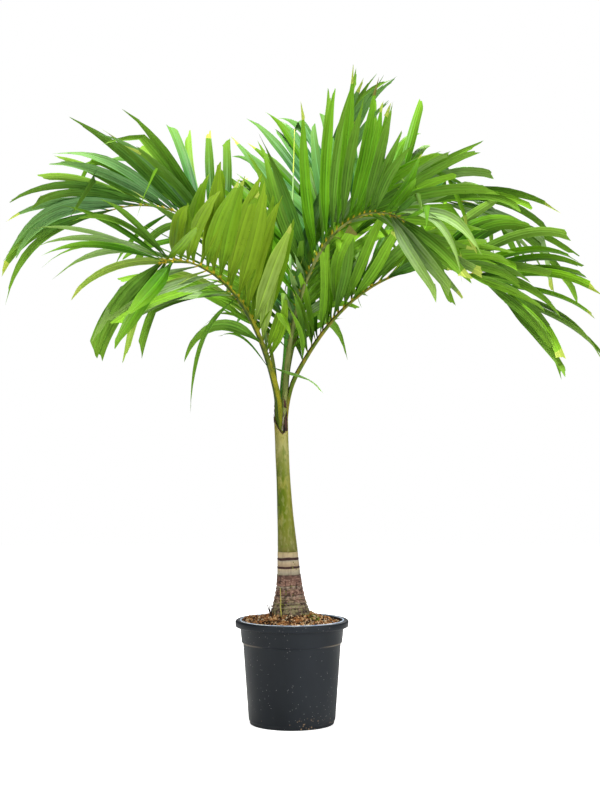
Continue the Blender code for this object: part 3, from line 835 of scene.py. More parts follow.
# %% Crownshaft
SHAFT_RINGS = 70
CLEAR = 0.0003
SHAFT_SECTION = [
    (0.512, 0.0302), (0.540, 0.0286), (0.560, 0.0273), (0.610, 0.0248), (0.667, 0.0226),
    (0.720, 0.0213), (0.764, 0.0206), (0.848, 0.0204), (0.866, 0.0207), (0.905, 0.0210),
    (0.960, 0.0206)]
SHEATH_WALL = 0.0010
MOUTH_RAGGED = 0.0030
# Height of the open sheath's edge at each bearing, from the notch round to the notch
SHEATH_MOUTH = [(-180, 0.914), (-149, 0.906), (-118, 0.886), (-92, 0.871), (-78, 0.866),
                (-66, 0.876), (-54, 0.912), (-44, 0.940), (-12, 0.950), (50, 0.942),
                (120, 0.928), (180, 0.914)]
SHAFT_LUMPS = ((1.2, 9, 0.0010, 0.0), (9, 7, 0.00035, 0.0))
# The colour of the sheath at each height
SHAFT_BANDS = [
    (0.512, (0.115, 0.115, 0.014)), (0.530, (0.165, 0.165, 0.035)),
    (0.600, (0.190, 0.200, 0.020)), (0.680, (0.215, 0.220, 0.018)),
    (0.760, (0.310, 0.305, 0.065)), (0.830, (0.385, 0.360, 0.120)),
    (0.862, (0.390, 0.345, 0.090)), (0.885, (0.330, 0.270, 0.045)),
    (0.955, (0.420, 0.390, 0.220))]


def mouth_height(angle):
    ragged = noise.noise(polar(angle, 7.0, 1.7)) * MOUTH_RAGGED
    return read_table(SHEATH_MOUTH, math.degrees(math.remainder(angle, math.tau))) + ragged


def shaft_relief(height, angle):
    return lumps(polar(angle, 1.0), height, SHAFT_LUMPS, 1.0)


def make_shaft_material():
    """Bands by height, green and mossy blotches, a left side darkened as painted shade, and tan
    on the right, partly painted light.
    """
    material, tree, shader = new_material("green_sheath", 0.45, 0.18)
    middle = times(tree, fade(tree, "Z", 0.54, 0.62), fade(tree, "Z", 0.86, 0.72))
    colour = lay_clouds(tree, height_ramp(tree, SHAFT_BANDS, 0.010), (
        # Deeper green blotches, laid heavier towards the left: partly the sheath's green, partly
        # painted shade.
        ((0.095, 0.145, 0.002), (58.0, 0.44, 0.52, 0.30), middle,
         fade(tree, "X", -0.006, -0.026, 0.12, 1.0)),
        # A darker green near the left edge: painted shade.
        ((0.045, 0.075, 0.002), (130.0, 0.50, 0.60, 0.7), middle,
         fade(tree, "X", -0.030, -0.044))))
    # A darker left side: painted shade.
    colour = lay(tree, colour, (0.060, 0.070, 0.006), fade(tree, "X", -0.024, -0.050), 0.45)
    colour = lay_clouds(tree, colour, (
        # Tan towards the right: partly the sheath's own tan, partly painted light.
        ((0.42, 0.30, 0.130), (22.0, 0.50, 0.70, 0.16, 1.3), fade(tree, "X", -0.020, 0.004), 0.8),
        ((0.460, 0.420, 0.180), (105.0, 0.52, 0.62, 0.45), 0.22),
        ((0.100, 0.150, 0.004), (140.0, 0.54, 0.64, 0.45), 0.55)))
    colour = lay(tree, colour, (0.055, 0.040, 0.015), specks(tree, 120.0, 0.20, 16.0, 0.54), 0.85)
    paint(tree, shader, colour, (mottle(tree, 210.0, 0.3, 0.7, 0.06)["Mask"], 0.22, 0.0006))
    return material


make_stem("green_crownshaft", SHAFT_SECTION, SHAFT_RINGS, shaft_relief,
          lambda share, angle: mix(TRUNK_TOP + CLEAR, mouth_height(angle), share),
          make_shaft_material(), "crownshaft", wall=SHEATH_WALL)

# %% [markdown]
# ## Husk
# The torn edge of the open sheath has dried to a dark brown cord, and papery strips of it
# stand beside the stalks. The cord is a thin tube that follows the shaft's top edge. The
# strips are narrow grids, bent round the stalks, whose side edges wander.

# %% Husk
EDGE_POINTS = 120
EDGE_SIDES = 6
EDGE_RADII = (0.0008, 0.0017)
EDGE_START = -78
STRIP_TAPER = 0.5
STRIP_RAGGED = 0.3
STRIP_BEND = 0.0006
STRIP_FRAY = 0.001
HUSK = mottled("dry_husk", (0.85, 0.2), ((0.085, 0.040, 0.026), (0.010, 0.006, 0.006)),
               (120.0, 0.40, 0.62, 0.3), (0.5, 0.001))
SILVER_HUSK = mottled("silver_husk", (0.85, 0.2), ((0.42, 0.40, 0.30), (0.13, 0.09, 0.06)),
                      (120.0, 0.40, 0.62, 0.3), (0.5, 0.001))
# Each strip's bearing, height and radius at its foot and top, its half width and its kind
HUSK_STRIPS = [
    ((-50, 0.874, 0.0222), (-36, 0.940, 0.0226), 0.0066, 0),
    ((-66, 0.870, 0.0220), (-54, 0.915, 0.0224), 0.0034, 0),
    ((-80, 0.876, 0.0214), (-66, 0.932, 0.0222), 0.0024, 1),
    ((-58, 0.945, 0.0266), (-62, 0.988, 0.0272), 0.0046, 0),
    ((-66, 0.940, 0.0200), (-76, 0.975, 0.0200), 0.0020, 1),
    ((-40, 0.944, 0.0205), (-34, 0.962, 0.0200), 0.0050, 1),
    ((150, 0.900, 0.0220), (140, 0.960, 0.0230), 0.0040, 0),
    ((60, 0.930, 0.0215), (66, 0.985, 0.0225), 0.0050, 0),
    ((-160, 0.900, 0.0222), (-168, 0.925, 0.0226), 0.0028, 0)]


def make_sheath_edge():
    draw = random.Random(8)
    bm = bmesh.new()
    line, radii = [], []
    for index in range(EDGE_POINTS + 1):
        angle = math.radians(EDGE_START) + math.tau * index / EDGE_POINTS
        height = mouth_height(angle)
        line.append(stem_centre(height) + polar(angle, read_table(SHAFT_SECTION, height)))
        radii.append(draw.uniform(*EDGE_RADII))
    tube_along(bm, line, radii, EDGE_SIDES)
    finish_piece(bm, "sheath_edge", [HUSK])


def make_husk_strips():
    draw = random.Random(4)
    bm = bmesh.new()
    for foot, top, half, kind in HUSK_STRIPS:
        made = bmesh.ops.create_grid(bm, x_segments=3, y_segments=12, size=0.5)["verts"]
        for vert in made:
            across, share = vert.co.x * 2, vert.co.y + 0.5
            bearing, height, reach = (mix(low, high, share) for low, high in zip(foot, top))
            reach += draw.uniform(-STRIP_BEND, STRIP_BEND)
            width = across + draw.uniform(-STRIP_RAGGED, STRIP_RAGGED)
            width *= half * (1.0 - STRIP_TAPER * share)
            angle = math.radians(bearing) + width / reach
            height += draw.uniform(-STRIP_FRAY, STRIP_FRAY)
            vert.co = stem_centre(height) + polar(angle, reach)
        mark_faces(made, kind)
    finish_piece(bm, "husk_strips", [HUSK, SILVER_HUSK], closed=False)


make_sheath_edge()
make_husk_strips()

# %% [markdown]
# ## The frond rule
# A frond is worked out from a few sizes. Its stalk first runs up along the shaft, then
# leans out and arches over; the pitch falls faster towards the tip. Leaflets stand in two
# ranks on the blade. "lift" is how far the ranks close up into a V, "roll" turns both of
# them about the rachis, "sweep" is their angle to it and "sag" how far they bend down.
# "width", "twist" and "slack" have a value for each rank: how broad its blades are, how far
# they are turned about their own midribs, and a factor on their sag. "strays" are the
# single leaflets that hang or stand apart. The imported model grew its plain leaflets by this
# same rule. Here they are more and narrower, within the same reach: "finer" has the factors
# for both. "girth" is how wide a stalk is beside its plain solid, and "kinks" is how many of
# the leaflets are kinked.

# %% The frond rule
FROND_NAMES = ("front_right", "front_left", "right", "back_left", "back_right", "back")
# Each size, for the fronds in that order
FROND_SIZES = dict(
    seat=(301, 243, 352, 144, 43, 94),
    azimuth=(299, 235, -6, 153, 22, 60),
    sway=(10, -4, 3, 4, -1, 3),
    rise=(84, 72, 65, 86, 87, 86),
    droop=(114, 86, 121, 108, 98, 39),
    bend=(1.8, 1.64, 2.1, 1.7, 1.5, 1.1),
    length=(0.98, 0.8, 0.98, 1.12, 1.12, 0.95),
    bare=(0.24, 0.27, 0.22, 0.27, 0.26, 0.28),
    split=(0.6, 0.6, 0.58, 0.6, 0.6, 0.66),
    pairs=(21, 19, 21, 21, 19, 18),
    reach=(0.445, 0.375, 0.37, 0.46, 0.42, 0.45),
    width=((0.044, 0.038), (0.05, 0.029), (0.036, 0.036), (0.036, 0.034), (0.038, 0.036),
           (0.042, 0.04)),
    lift=((21, 64, -4), (56, -8, 34), (60, 28, 70), (-48, 47, 47), (12, 47, -10), (4, 32, 46)),
    roll=((1, -25, -48), (-11, 54, -9), (5, 18, 70), (2, -3, -43), (-25, 27, 28),
          (-50, -17, -8)),
    sweep=((58, 37), (30, 58), (48, 43), (49, 20), (64, 36), (48, 39)),
    tip=(0.66, 1.03, 1.0, 0.89, 1.1, 0.84),
    sag=((0.7, 0.1), (0.8, 0.9), (0.5, 0.8), (0.2, 1.1), (0.7, 0.9), (0.4, 0.7)),
    twist=((-50, -42), (-15, -60), (18, 68), (50, 12), (-8, 72), (-12, 75)),
    slack=((1.0, 1.0), (0.35, 1.0), (1.0, 1.0), (1.0, 1.0), (1.0, 1.0), (1.0, 1.0)),
    seed=(14, 11, 16, 12, 15, 13),
    finer=((1.35, 0.84), (1.05, 0.96), (1.42, 0.94), (1.35, 0.9), (1.35, 0.92), (1.3, 0.84)),
    girth=(1.35, 1.95, 1.75, 1.05, 1.05, 1.05),
    kinks=(0.14, 0.08, 0.06, 0.25, 0.35, 0.08))
# Single leaflets: share along the rachis, side, sweep, lift, length, width, sag and twist
STRAYS = {
    "front_right": (
        (0.934, 1, 23, -68, 0.34, 0.034, 0.5, 10), (0.939, 1, 21, -34, 0.31, 0.036, 0.5, -30),
        (0.928, -1, 13, 36, 0.39, 0.02, 2.0, -24), (0.968, -1, 30, 45, 0.36, 0.03, 1.6, -15)),
    "front_left": (
        (0.572, -1, 67, -54, 0.46, 0.014, 1.6, 30), (0.357, -1, 34, -89, 0.37, 0.036, 1.5, -24),
        (0.236, 1, 27, -80, 0.27, 0.01, 0.8, 24), (0.258, 1, 85, -12, 0.3, 0.024, 0.5, 24),
        (0.304, 1, 67, 89, 0.42, 0.032, 3.1, 24), (0.995, -1, 85, -35, 0.37, 0.044, 0.9, 60),
        (0.98, -1, 85, -42, 0.37, 0.04, 0.7, 60), (0.971, 1, 37, -79, 0.32, 0.04, 0.2, 30),
        (0.936, 1, 31, -34, 0.44, 0.044, 0.1, -10), (0.955, 1, 38, 72, 0.4, 0.018, 0.5, 10),
        (0.962, 1, 30, 84, 0.42, 0.018, 0.6, 20), (0.975, -1, 34, 84, 0.4, 0.016, 0.4, -20),
        (0.985, -1, 24, 70, 0.42, 0.02, 0.7, -10)),
    "right": (
        (0.755, -1, 3, 39, 0.37, 0.01, 0.8, -80),),
    "back_left": (
        (0.6, 1, 40, -60, 0.3, 0.024, 0.8, 20), (0.68, -1, 45, -70, 0.28, 0.026, 0.6, -20),
        (0.75, 1, 50, -65, 0.26, 0.022, 0.8, 20))}
FRONDS = {name: dict({size: row[place] for size, row in FROND_SIZES.items()},
                     strays=STRAYS.get(name, ()))
          for place, name in enumerate(FROND_NAMES)}
PETIOLE_RING = 0.0186
PETIOLE_FOOT = SHAFT_TOP + CLEAR
PETIOLE_RADIUS = 0.0072
RACHIS_TIP_RADIUS = 0.0022
RACHIS_EASE = 0.35
CLASP_PITCH = 90
CLASP_START = 0.06
CLASP_SHARE = 0.14
RACHIS_STATIONS = 72
LEAFLET_SUNK = 0.6
LAST_LEAFLET = 0.995
FIRST_GROWTH = 0.58
FIRST_WIDTH = 0.55
LAST_WIDTH = 0.80
GROWN = 0.27
FADING = 0.50
PLACE_SCATTER = 0.22
SWEEP_SCATTER = 5
LIFT_SCATTER = 7
TWIST_SCATTER = 8
LENGTH_SCATTER = (0.88, 1.08)
SAG_SCATTER = (0.5, 1.5)


def rachis_heading(frond, share):
    """The way the rachis runs, and the way to its left, at a share of its length."""
    heading = math.radians(frond["azimuth"] + frond["sway"] * share)
    pitch = frond["rise"] - frond["droop"] * share ** frond["bend"]
    pitch = math.radians(mix(CLASP_PITCH, pitch, smooth((share - CLASP_START) / CLASP_SHARE)))
    along = Vector((math.cos(pitch) * math.cos(heading),
                    math.cos(pitch) * math.sin(heading), math.sin(pitch)))
    return along, Vector((-math.sin(heading), math.cos(heading), 0.0))


def level_at(levels, along):
    """A value given at the foot, middle and tip of the blade, at a share of its length."""
    foot, middle, tip = levels
    if along < 0.5:
        return mix(foot, middle, smooth(along / 0.5))
    return mix(middle, tip, smooth((along - 0.5) / 0.5))


def frond_stations(frond, count):
    """The rachis as frames (place, along, left, up), from its foot to its tip."""
    place = stem_centre(PETIOLE_FOOT) + polar(math.radians(frond["seat"]), PETIOLE_RING)
    step = frond["length"] / count
    frames = []
    for index in range(count + 1):
        share = index / count
        along, left = rachis_heading(frond, share)
        blade = (share - frond["bare"]) / (1.0 - frond["bare"])
        roll = level_at(frond["roll"], max(0.0, blade)) * smooth(share / frond["bare"])
        left = Matrix.Rotation(math.radians(roll), 3, along) @ left
        frames.append((place.copy(), along, left, along.cross(left)))
        place = place + rachis_heading(frond, (index + 0.5) / count)[0] * step
    return frames


def frame_at(frames, share):
    """The rachis frame at a share of its length, between its stations."""
    scaled = max(0.0, min(1.0, share)) * (len(frames) - 1)
    index = min(int(scaled), len(frames) - 2)
    rest = scaled - index
    mixed = [first.lerp(second, rest) for first, second in zip(frames[index], frames[index + 1])]
    return mixed[0], mixed[1].normalized(), mixed[2].normalized(), mixed[3].normalized()


def rachis_radius(share):
    share = smooth(share) * RACHIS_EASE + share * (1 - RACHIS_EASE)
    return mix(PETIOLE_RADIUS, RACHIS_TIP_RADIUS, share)


def by_side(pair):
    """A pair of values, as those of the left rank, +1, and of the right, -1."""
    return dict(zip((1, -1), pair))


def leaflet_plan(frond):
    """Every leaflet of a frond: its share along the rachis, side, angles and sizes."""
    draw = random.Random(frond["seed"])
    plan = []
    twist, width = by_side(frond["twist"]), by_side(frond["width"])
    slack = by_side(frond["slack"])
    for share, side, sweep, lift, length, wide, sag, turn in frond["strays"]:
        plan.append(dict(share=share, side=side, sweep=sweep, lift=lift, length=length,
                         width=wide, sag=sag, twist=turn, stray=True))
    pairs = frond["pairs"]
    for index in range(pairs):
        for side in (1, -1):
            along = (index + 0.5 + draw.uniform(-PLACE_SCATTER, PLACE_SCATTER)) / pairs
            early = smooth(along / GROWN)
            late = smooth((along - FADING) / (1.0 - FADING))
            growth = mix(FIRST_GROWTH, 1.0, early) * mix(1.0, frond["tip"], late)
            slimming = mix(FIRST_WIDTH, 1.0, early) * mix(1.0, LAST_WIDTH, late)
            plan.append(dict(
                share=mix(frond["bare"], LAST_LEAFLET, along),
                side=side,
                sweep=mix(*frond["sweep"], along) + draw.uniform(-SWEEP_SCATTER, SWEEP_SCATTER),
                lift=level_at(frond["lift"], along) + draw.uniform(-LIFT_SCATTER, LIFT_SCATTER),
                length=frond["reach"] * growth * draw.uniform(*LENGTH_SCATTER),
                width=width[side] * slimming,
                sag=mix(*frond["sag"], along) * slack[side] * draw.uniform(*SAG_SCATTER),
                twist=side * (twist[side] + draw.uniform(-TWIST_SCATTER, TWIST_SCATTER)),
                stray=False))
    return plan


def leaflet_line(frames, leaf, pieces):
    """The leaflet's midrib as (place, along, across), bending down under its weight."""
    root, along, left, up = frame_at(frames, leaf["share"])
    sweep, lift, twist = (math.radians(leaf[size]) for size in ("sweep", "lift", "twist"))
    outward = left * leaf["side"] * math.cos(lift) + up * math.sin(lift)
    heading = (along * math.cos(sweep) + outward * math.sin(sweep)).normalized()
    across = (along - heading * along.dot(heading)).normalized()
    across = Matrix.Rotation(twist, 3, heading) @ across
    place = root + outward * rachis_radius(leaf["share"]) * (1 - LEAFLET_SUNK)
    line = [(place.copy(), heading.copy(), across.copy())]
    kink_step, kink_pull = leaf.get("kink", (None, 0.0))
    for step in range(pieces):
        pull = leaf["sag"] * 2.0 * (step + 0.5) / pieces / pieces
        if step == kink_step:
            pull += kink_pull
        heading = (heading + Vector((0, 0, -pull))).normalized()
        across = (across - heading * across.dot(heading)).normalized()
        place = place + heading * (leaf["length"] / pieces)
        line.append((place.copy(), heading.copy(), across.copy()))
    return line


def finer(name):
    """A frond's sizes for the finished leaflets: more of them, and narrower."""
    frond = FRONDS[name]
    more, narrower = frond["finer"]
    widths = [width * narrower for width in frond["width"]]
    return dict(frond, pairs=round(frond["pairs"] * more), width=widths)


print("leaflets:", sum(len(leaflet_plan(finer(name))) for name in FRONDS))

# %% [markdown]
# ## Leaflet blade
# A leaflet is a narrow grid of four strips, folded down on both sides of its midrib like a
# roof. Its outline opens from a pinched foot, runs nearly parallel, and ends in a slanting
# edge with a few teeth. Some are kinked near the end, so that the tip hangs and shows its
# paler underside. Four strips and twelve steps are enough: hundreds of them are joined
# into the fronds, so each stays at a few dozen faces.

# %% Leaflet blade
BLADE_STRIPS = 4
BLADE_STEPS = 12
BLADE_FOOT = 0.16
OPEN_BY = 0.34
CLOSE_FROM = 0.62
FOLD_DEGREES = (38, 17, 10)
FOLD_EASED = 0.4
FOLD_FLATTER = 0.7
PLEAT = 0.08
CURL_DEGREES = 22
BOW = 0.010
THIN_STRAY = 0.024
THIN_END = 0.06
SLANTS = (0.02, 0.07)
TEETH = 0.03
KINK_STEPS = (7, 8, 9)
KINK_PULLS = (0.6, 2.4)


def half_width(share, end):
    """Half the blade's width as a share of its widest, at a share of its length."""
    opening = mix(BLADE_FOOT, 1.0, smooth(share / OPEN_BY))
    return opening * mix(1.0, end, smooth((share - CLOSE_FROM) / (1.0 - CLOSE_FROM)))


def fold_angle(share):
    """How steeply the two halves of the blade fall from the midrib: foot, middle and tip."""
    foot, middle, tip = FOLD_DEGREES
    last = smooth((share - FOLD_FLATTER) / (1 - FOLD_FLATTER))
    return math.radians(mix(foot, middle, smooth(share / FOLD_EASED)) + (tip - middle) * last)


def grow_leaflet(bm, frames, leaf, draw, kinks, blunt):
    """Adds one blade to the mesh and returns its faces."""
    if not leaf["stray"] and draw.random() < kinks:
        leaf = dict(leaf, kink=(draw.choice(KINK_STEPS), draw.uniform(*KINK_PULLS)))
    line = leaflet_line(frames, leaf, BLADE_STEPS)
    grid = bmesh.ops.create_grid(bm, x_segments=BLADE_STRIPS, y_segments=BLADE_STEPS, size=0.5,
                                 calc_uvs=True)["verts"]
    curl = math.radians(draw.gauss(0, CURL_DEGREES))
    bow = draw.gauss(0, BOW)
    end = THIN_END if leaf["width"] < THIN_STRAY else draw.uniform(*blunt)
    slant = draw.choice((1, -1)) * draw.uniform(*SLANTS)
    for vert in grid:
        aside, share = vert.co.x * 2, vert.co.y + 0.5
        place, heading, across = line[min(BLADE_STEPS, round(share * BLADE_STEPS))]
        wide = Matrix.Rotation(curl * share * share, 3, heading) @ (across * leaf["side"])
        half = leaf["width"] / 2 * half_width(share, end)
        fold = fold_angle(share)
        drop = abs(aside) * half * math.sin(fold)
        if 0.4 < abs(aside) < 0.6:
            drop -= half * PLEAT
        vert.co = (place + wide * (aside * half * math.cos(fold)) - wide.cross(heading) * drop
                   + wide * bow * math.sin(share * math.pi))
        if share > 0.99:
            vert.co += heading * leaf["length"] * (slant * aside - draw.uniform(0, TEETH))
    return {face for vert in grid for face in vert.link_faces}


# %% [markdown]
# ## Leaf colours
# Leaves differ by frond. The two in front are young and yellow-green; those at the back
# are older and bluish. Each frond deals its leaflets two to four plain greens by seeded
# chance, one deal to each rank. A material adds fine ribs that darken it in stripes, partly
# the veins' own colour and partly painted shade of the pleats, a pale margin, a pale midrib
# that is partly a painted highlight, a darker half and foot that are painted shade of the
# fold and of the rachis, a paler end, a yellow knob where it stands on the rachis, faint
# clouds of a second green, a few brown specks and a paler underside.

# %% Leaf materials
KNOB_YELLOW = (0.62, 0.46, 0.030)
PALE_END = (0.330, 0.490, 0.055)
LEAF_SPOTS = (90.0, 0.12, 9.0, 0.54)


def leaf_material(name, colour, second, under, rib_stripes_and_shade):
    material, tree, shader = new_material(name, 0.42, 0.08)
    ribs = add_node(tree, "Group", node_tree=RIBS).outputs
    backs = add_node(tree, "NewGeometry").outputs["Backfacing"]
    clouds = mottle(tree, 9.0, 0.36, 0.66, colours=(colour, second))["Color"]
    uneven = mottle(tree, 26.0, 0.38, 0.60)["Mask"]
    dark = dimmed(second, 0.40)
    pale = tuple(mix(end, part * 1.6, 0.5) for end, part in zip(PALE_END, colour))
    light = tuple(min(1.0, part * 1.8 + 0.020) for part in colour)
    body = lay(tree, clouds, under, backs)
    for above, *masks in (
            # Stripes along the ribs: partly the veins' own colour, partly painted shade of the
            # pleats.
            (dimmed(colour, 0.50), spread(tree, ribs["Height"], -1.0, 1.0, 0.0, rib_stripes_and_shade),
             spread(tree, uneven, 0.0, 1.0, 0.25, 1.0)),
            # One half of the blade darker than the other: painted shade of the fold.
            (dark, ribs["Half"], 0.30),
            # A darker foot beside the rachis: painted shade.
            (dark, spread(tree, ribs["Along"], 0.30, 0.05), 0.62),
            (pale, spread(tree, ribs["Along"], 0.42, 0.95), 0.58),
            (light, ribs["Margin"], 0.5),
            # The pale midrib: partly the vein's own colour, partly a painted highlight on its
            # ridge.
            (light, ribs["Midrib"], 0.75),
            (dimmed(colour, 0.30), specks(tree, *LEAF_SPOTS), 0.6),
            (KNOB_YELLOW, spread(tree, ribs["Along"], 0.040, 0.015))):
        body = lay(tree, body, above, *masks)
    paint(tree, shader, body, (ribs["Height"], 0.3, 0.0008))
    return material


# Upper side, its second green, the underside, and the depth of its rib stripes, partly painted
# shade
LEAF_COLOURS = {
    "young_yellow": ((0.180, 0.310, 0.002), (0.105, 0.205, 0.001), (0.240, 0.400, 0.016), 0.45),
    "young_lime": ((0.120, 0.270, 0.003), (0.070, 0.170, 0.001), (0.210, 0.390, 0.014), 0.50),
    "bright": ((0.080, 0.300, 0.002), (0.042, 0.190, 0.001), (0.150, 0.380, 0.012), 0.60),
    "fresh": ((0.145, 0.370, 0.005), (0.075, 0.240, 0.003), (0.210, 0.440, 0.030), 0.55),
    "mid": ((0.064, 0.210, 0.003), (0.034, 0.130, 0.002), (0.140, 0.300, 0.030), 0.60),
    "deep": ((0.034, 0.130, 0.006), (0.016, 0.072, 0.003), (0.090, 0.240, 0.025), 0.60),
    "bluish": ((0.064, 0.215, 0.055), (0.036, 0.140, 0.026), (0.170, 0.350, 0.120), 0.50),
    "pale_lime": ((0.270, 0.430, 0.035), (0.170, 0.310, 0.012), (0.320, 0.470, 0.090), 0.50),
    "silvery": ((0.155, 0.310, 0.035), (0.085, 0.205, 0.012), (0.300, 0.450, 0.180), 0.60),
    "pale": ((0.260, 0.430, 0.150), (0.180, 0.350, 0.090), (0.330, 0.480, 0.220), 0.40),
    "yellow_tip": ((0.420, 0.500, 0.070), (0.330, 0.420, 0.040), (0.450, 0.520, 0.120), 0.30),
    "brown_tip": ((0.100, 0.050, 0.020), (0.030, 0.015, 0.010), (0.120, 0.060, 0.030), 0.40),
}
LEAVES = {name: leaf_material("leaf_" + name, *colours) for name, colours in LEAF_COLOURS.items()}
# What greens each frond's leaflets take: its side +1, its side -1, and its strays
LEAF_DEALS = {
    "front_left": ({"young_yellow": 0.45, "young_lime": 0.40, "pale_lime": 0.15},
                   {"pale_lime": 0.25, "silvery": 0.35, "fresh": 0.20, "mid": 0.20},
                   "mid"),
    "front_right": ({"silvery": 0.40, "fresh": 0.35, "mid": 0.25},
                    {"bright": 0.50, "mid": 0.35, "deep": 0.15}, "silvery"),
    "right": ({"mid": 0.40, "fresh": 0.30, "silvery": 0.20, "pale_lime": 0.10},
              {"mid": 0.45, "fresh": 0.35, "deep": 0.20}, "brown_tip"),
    "back_left": ({"deep": 0.40, "mid": 0.40, "bluish": 0.20},
                  {"silvery": 0.30, "mid": 0.30, "bluish": 0.25, "deep": 0.15}, "mid"),
    "back_right": ({"mid": 0.40, "bluish": 0.40, "deep": 0.20},
                   {"mid": 0.35, "silvery": 0.30, "pale": 0.15, "fresh": 0.20}, "mid"),
    "back": ({"bluish": 0.60, "mid": 0.40}, {"bluish": 0.60, "mid": 0.25, "deep": 0.15}, "mid"),
}
TIP_CHANCES = {"yellow_tip": 0.20, "brown_tip": 0.04}
# Half width of a leaflet's end beside its middle, at the least and the most, on each side
BLUNTNESS = {"front_left": ((0.08, 0.35), (0.45, 0.95)),
             "front_right": ((0.40, 0.90), (0.10, 0.35)),
             "right": ((0.50, 0.95), (0.50, 0.95)), "back_left": ((0.12, 0.50), (0.50, 0.95)),
             "back_right": ((0.40, 0.90), (0.40, 0.90)), "back": ((0.08, 0.40), (0.08, 0.40))}
print("leaf materials:", len(LEAVES))

# %% [markdown]
# ## Stalks
# A stalk is a ring extruded from frame to frame. Its foot is broad and stands packed with
# the others inside the sheath; from there it narrows to a slim rib, flat above and round
# below. Its colour goes from olive to gold. The front left one is painted a darker green
# down one side as painted shade, and the right one keeps dry brown fibres along its upper
# side.

# %% Stalks
STALK_SIDES = 14
STALK_SPLIT = 18
STALK_FOOT = 0.03
GIRTH_GONE = 0.9
# How deep a stalk is beside its half width, above and below, and how far its girth adds to that
FLAT_ABOVE = 0.55
ROUND_BELOW = 1.05
DEEPENED = 0.6
DEEPER_FROM = 0.06
DEEPER_OVER = 0.12
STALK_SPOTS = (130.0, 0.14, 12.0, 0.54)
SPOT_BROWN = (0.06, 0.045, 0.015)
STALK_COLOURS = {
    "front_left": ((0.260, 0.250, 0.004), (0.080, 0.120, 0.002)),
    "front_right": ((0.200, 0.225, 0.060), (0.085, 0.125, 0.016)),
    "right": ((0.085, 0.140, 0.003), (0.230, 0.190, 0.012)),
    "back_left": ((0.130, 0.170, 0.020), (0.080, 0.120, 0.012)),
    "back_right": ((0.170, 0.210, 0.030), (0.100, 0.145, 0.015)),
    "back": ((0.130, 0.170, 0.020), (0.080, 0.125, 0.010)),
}
TUCK = 0.44
TUCK_TOP = 0.990
# The stalk with fibres: where along it they start and end, and how far above its middle
FIBRED = ("right", 0.07, 0.42, 0.001)
# The stalk whose one side is a darker green as painted shade, and how far from its middle that
# side starts
SHADED = ("front_left", 0.0012)


def stalk_material(name, *colours):
    material, tree, shader = new_material(name, 0.45, 0.20)
    streak = mottle(tree, 60.0, 0.42, 0.60, 0.14, colours=colours)
    tone = lay(tree, streak["Color"], SPOT_BROWN, specks(tree, *STALK_SPOTS), 0.7)
    paint(tree, shader, tone, (streak["Mask"], 0.15, 0.0006))
    return material


# A darker green for one side of a stalk: painted shade.
SHADED_GREEN = stalk_material("stalk_shaded", (0.055, 0.090, 0.003), (0.030, 0.060, 0.002))


def tucked(place):
    """A place on a stalk's foot moved in, to stand packed with the others in the sheath."""
    share = TUCK * (1.0 - smooth((place.z - SHAFT_TOP) / (TUCK_TOP - SHAFT_TOP)))
    return place.lerp(stem_centre(place.z), share)


def mark_stalk(bm, name, stations):
    """Gives the faces of a stalk's fibres and of its shaded side their own materials."""
    (fibred_name, low, high, above), (shaded_name, side_start) = FIBRED, SHADED
    for face in bm.faces:
        middle = face.calc_center_median()
        share, place, _, left, up = min(
            stations, key=lambda station: (tucked(station[1]) - middle).length)
        away = middle - tucked(place)
        fibred = name == fibred_name and away.dot(up) > above and low < share < high
        shaded = name == shaded_name and away.dot(left) < side_start
        face.material_index = 1 if fibred else 2 if shaded else 0


def make_stalk(name, half, frames, start, end, material):
    bm = bmesh.new()
    count = len(frames) - 1
    first, last = round(start * count), round(end * count)
    stations = [(station / count, *frames[station]) for station in range(first, last + 1)]
    if half == "inner":
        share, place, *axes = stations[0]
        stations.insert(0, (share, place - Vector((0, 0, STALK_FOOT)), *axes))

    def spot_at(step, angle):
        share, place, _, left, up = stations[step]
        radius, rise = rachis_radius(share), math.sin(angle)
        stout = mix(FRONDS[name]["girth"], 1.0, smooth(share / GIRTH_GONE))
        deep = radius * (FLAT_ABOVE if rise > 0 else ROUND_BELOW)
        deep *= mix(1.0, stout, DEEPENED * smooth((share - DEEPER_FROM) / DEEPER_OVER))
        return tucked(place) + left * math.cos(angle) * radius * stout + up * rise * deep

    loft(bm, STALK_SIDES, len(stations) - 1, spot_at)
    close_ends(bm)
    if name in (FIBRED[0], SHADED[0]):
        mark_stalk(bm, name, stations)
    node = f"frond_{name}_{half}"
    finish_piece(bm, f"stalk_{name}_{half}", [material, HUSK, SHADED_GREEN],
                 [node])


# %% [markdown]
# ## Fronds
# Each frond is in two halves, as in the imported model: the part below the bend and the part
# beyond it. Every leaflet of a half goes into one mesh, and takes its green, its tip and
# its kink from seeded draws, so the frond is the same each time.

# %% Fronds
BLADE_CREASE = 24


def deal_greens(name, half, leaf, draw):
    """The kinds of green that a leaflet and its tip take."""
    ranks, stray_kind = by_side(LEAF_DEALS[name][:2]), LEAF_DEALS[name][2]
    deal = ranks[leaf["side"]]
    kind = draw.choices(*zip(*deal.items()))[0]
    roll = draw.random()
    if leaf["stray"]:
        kind = stray_kind if half == "outer" or name == "right" else "mid"
    elif roll < sum(TIP_CHANCES.values()):
        return kind, "brown_tip" if roll < TIP_CHANCES["brown_tip"] else "yellow_tip"
    return kind, kind


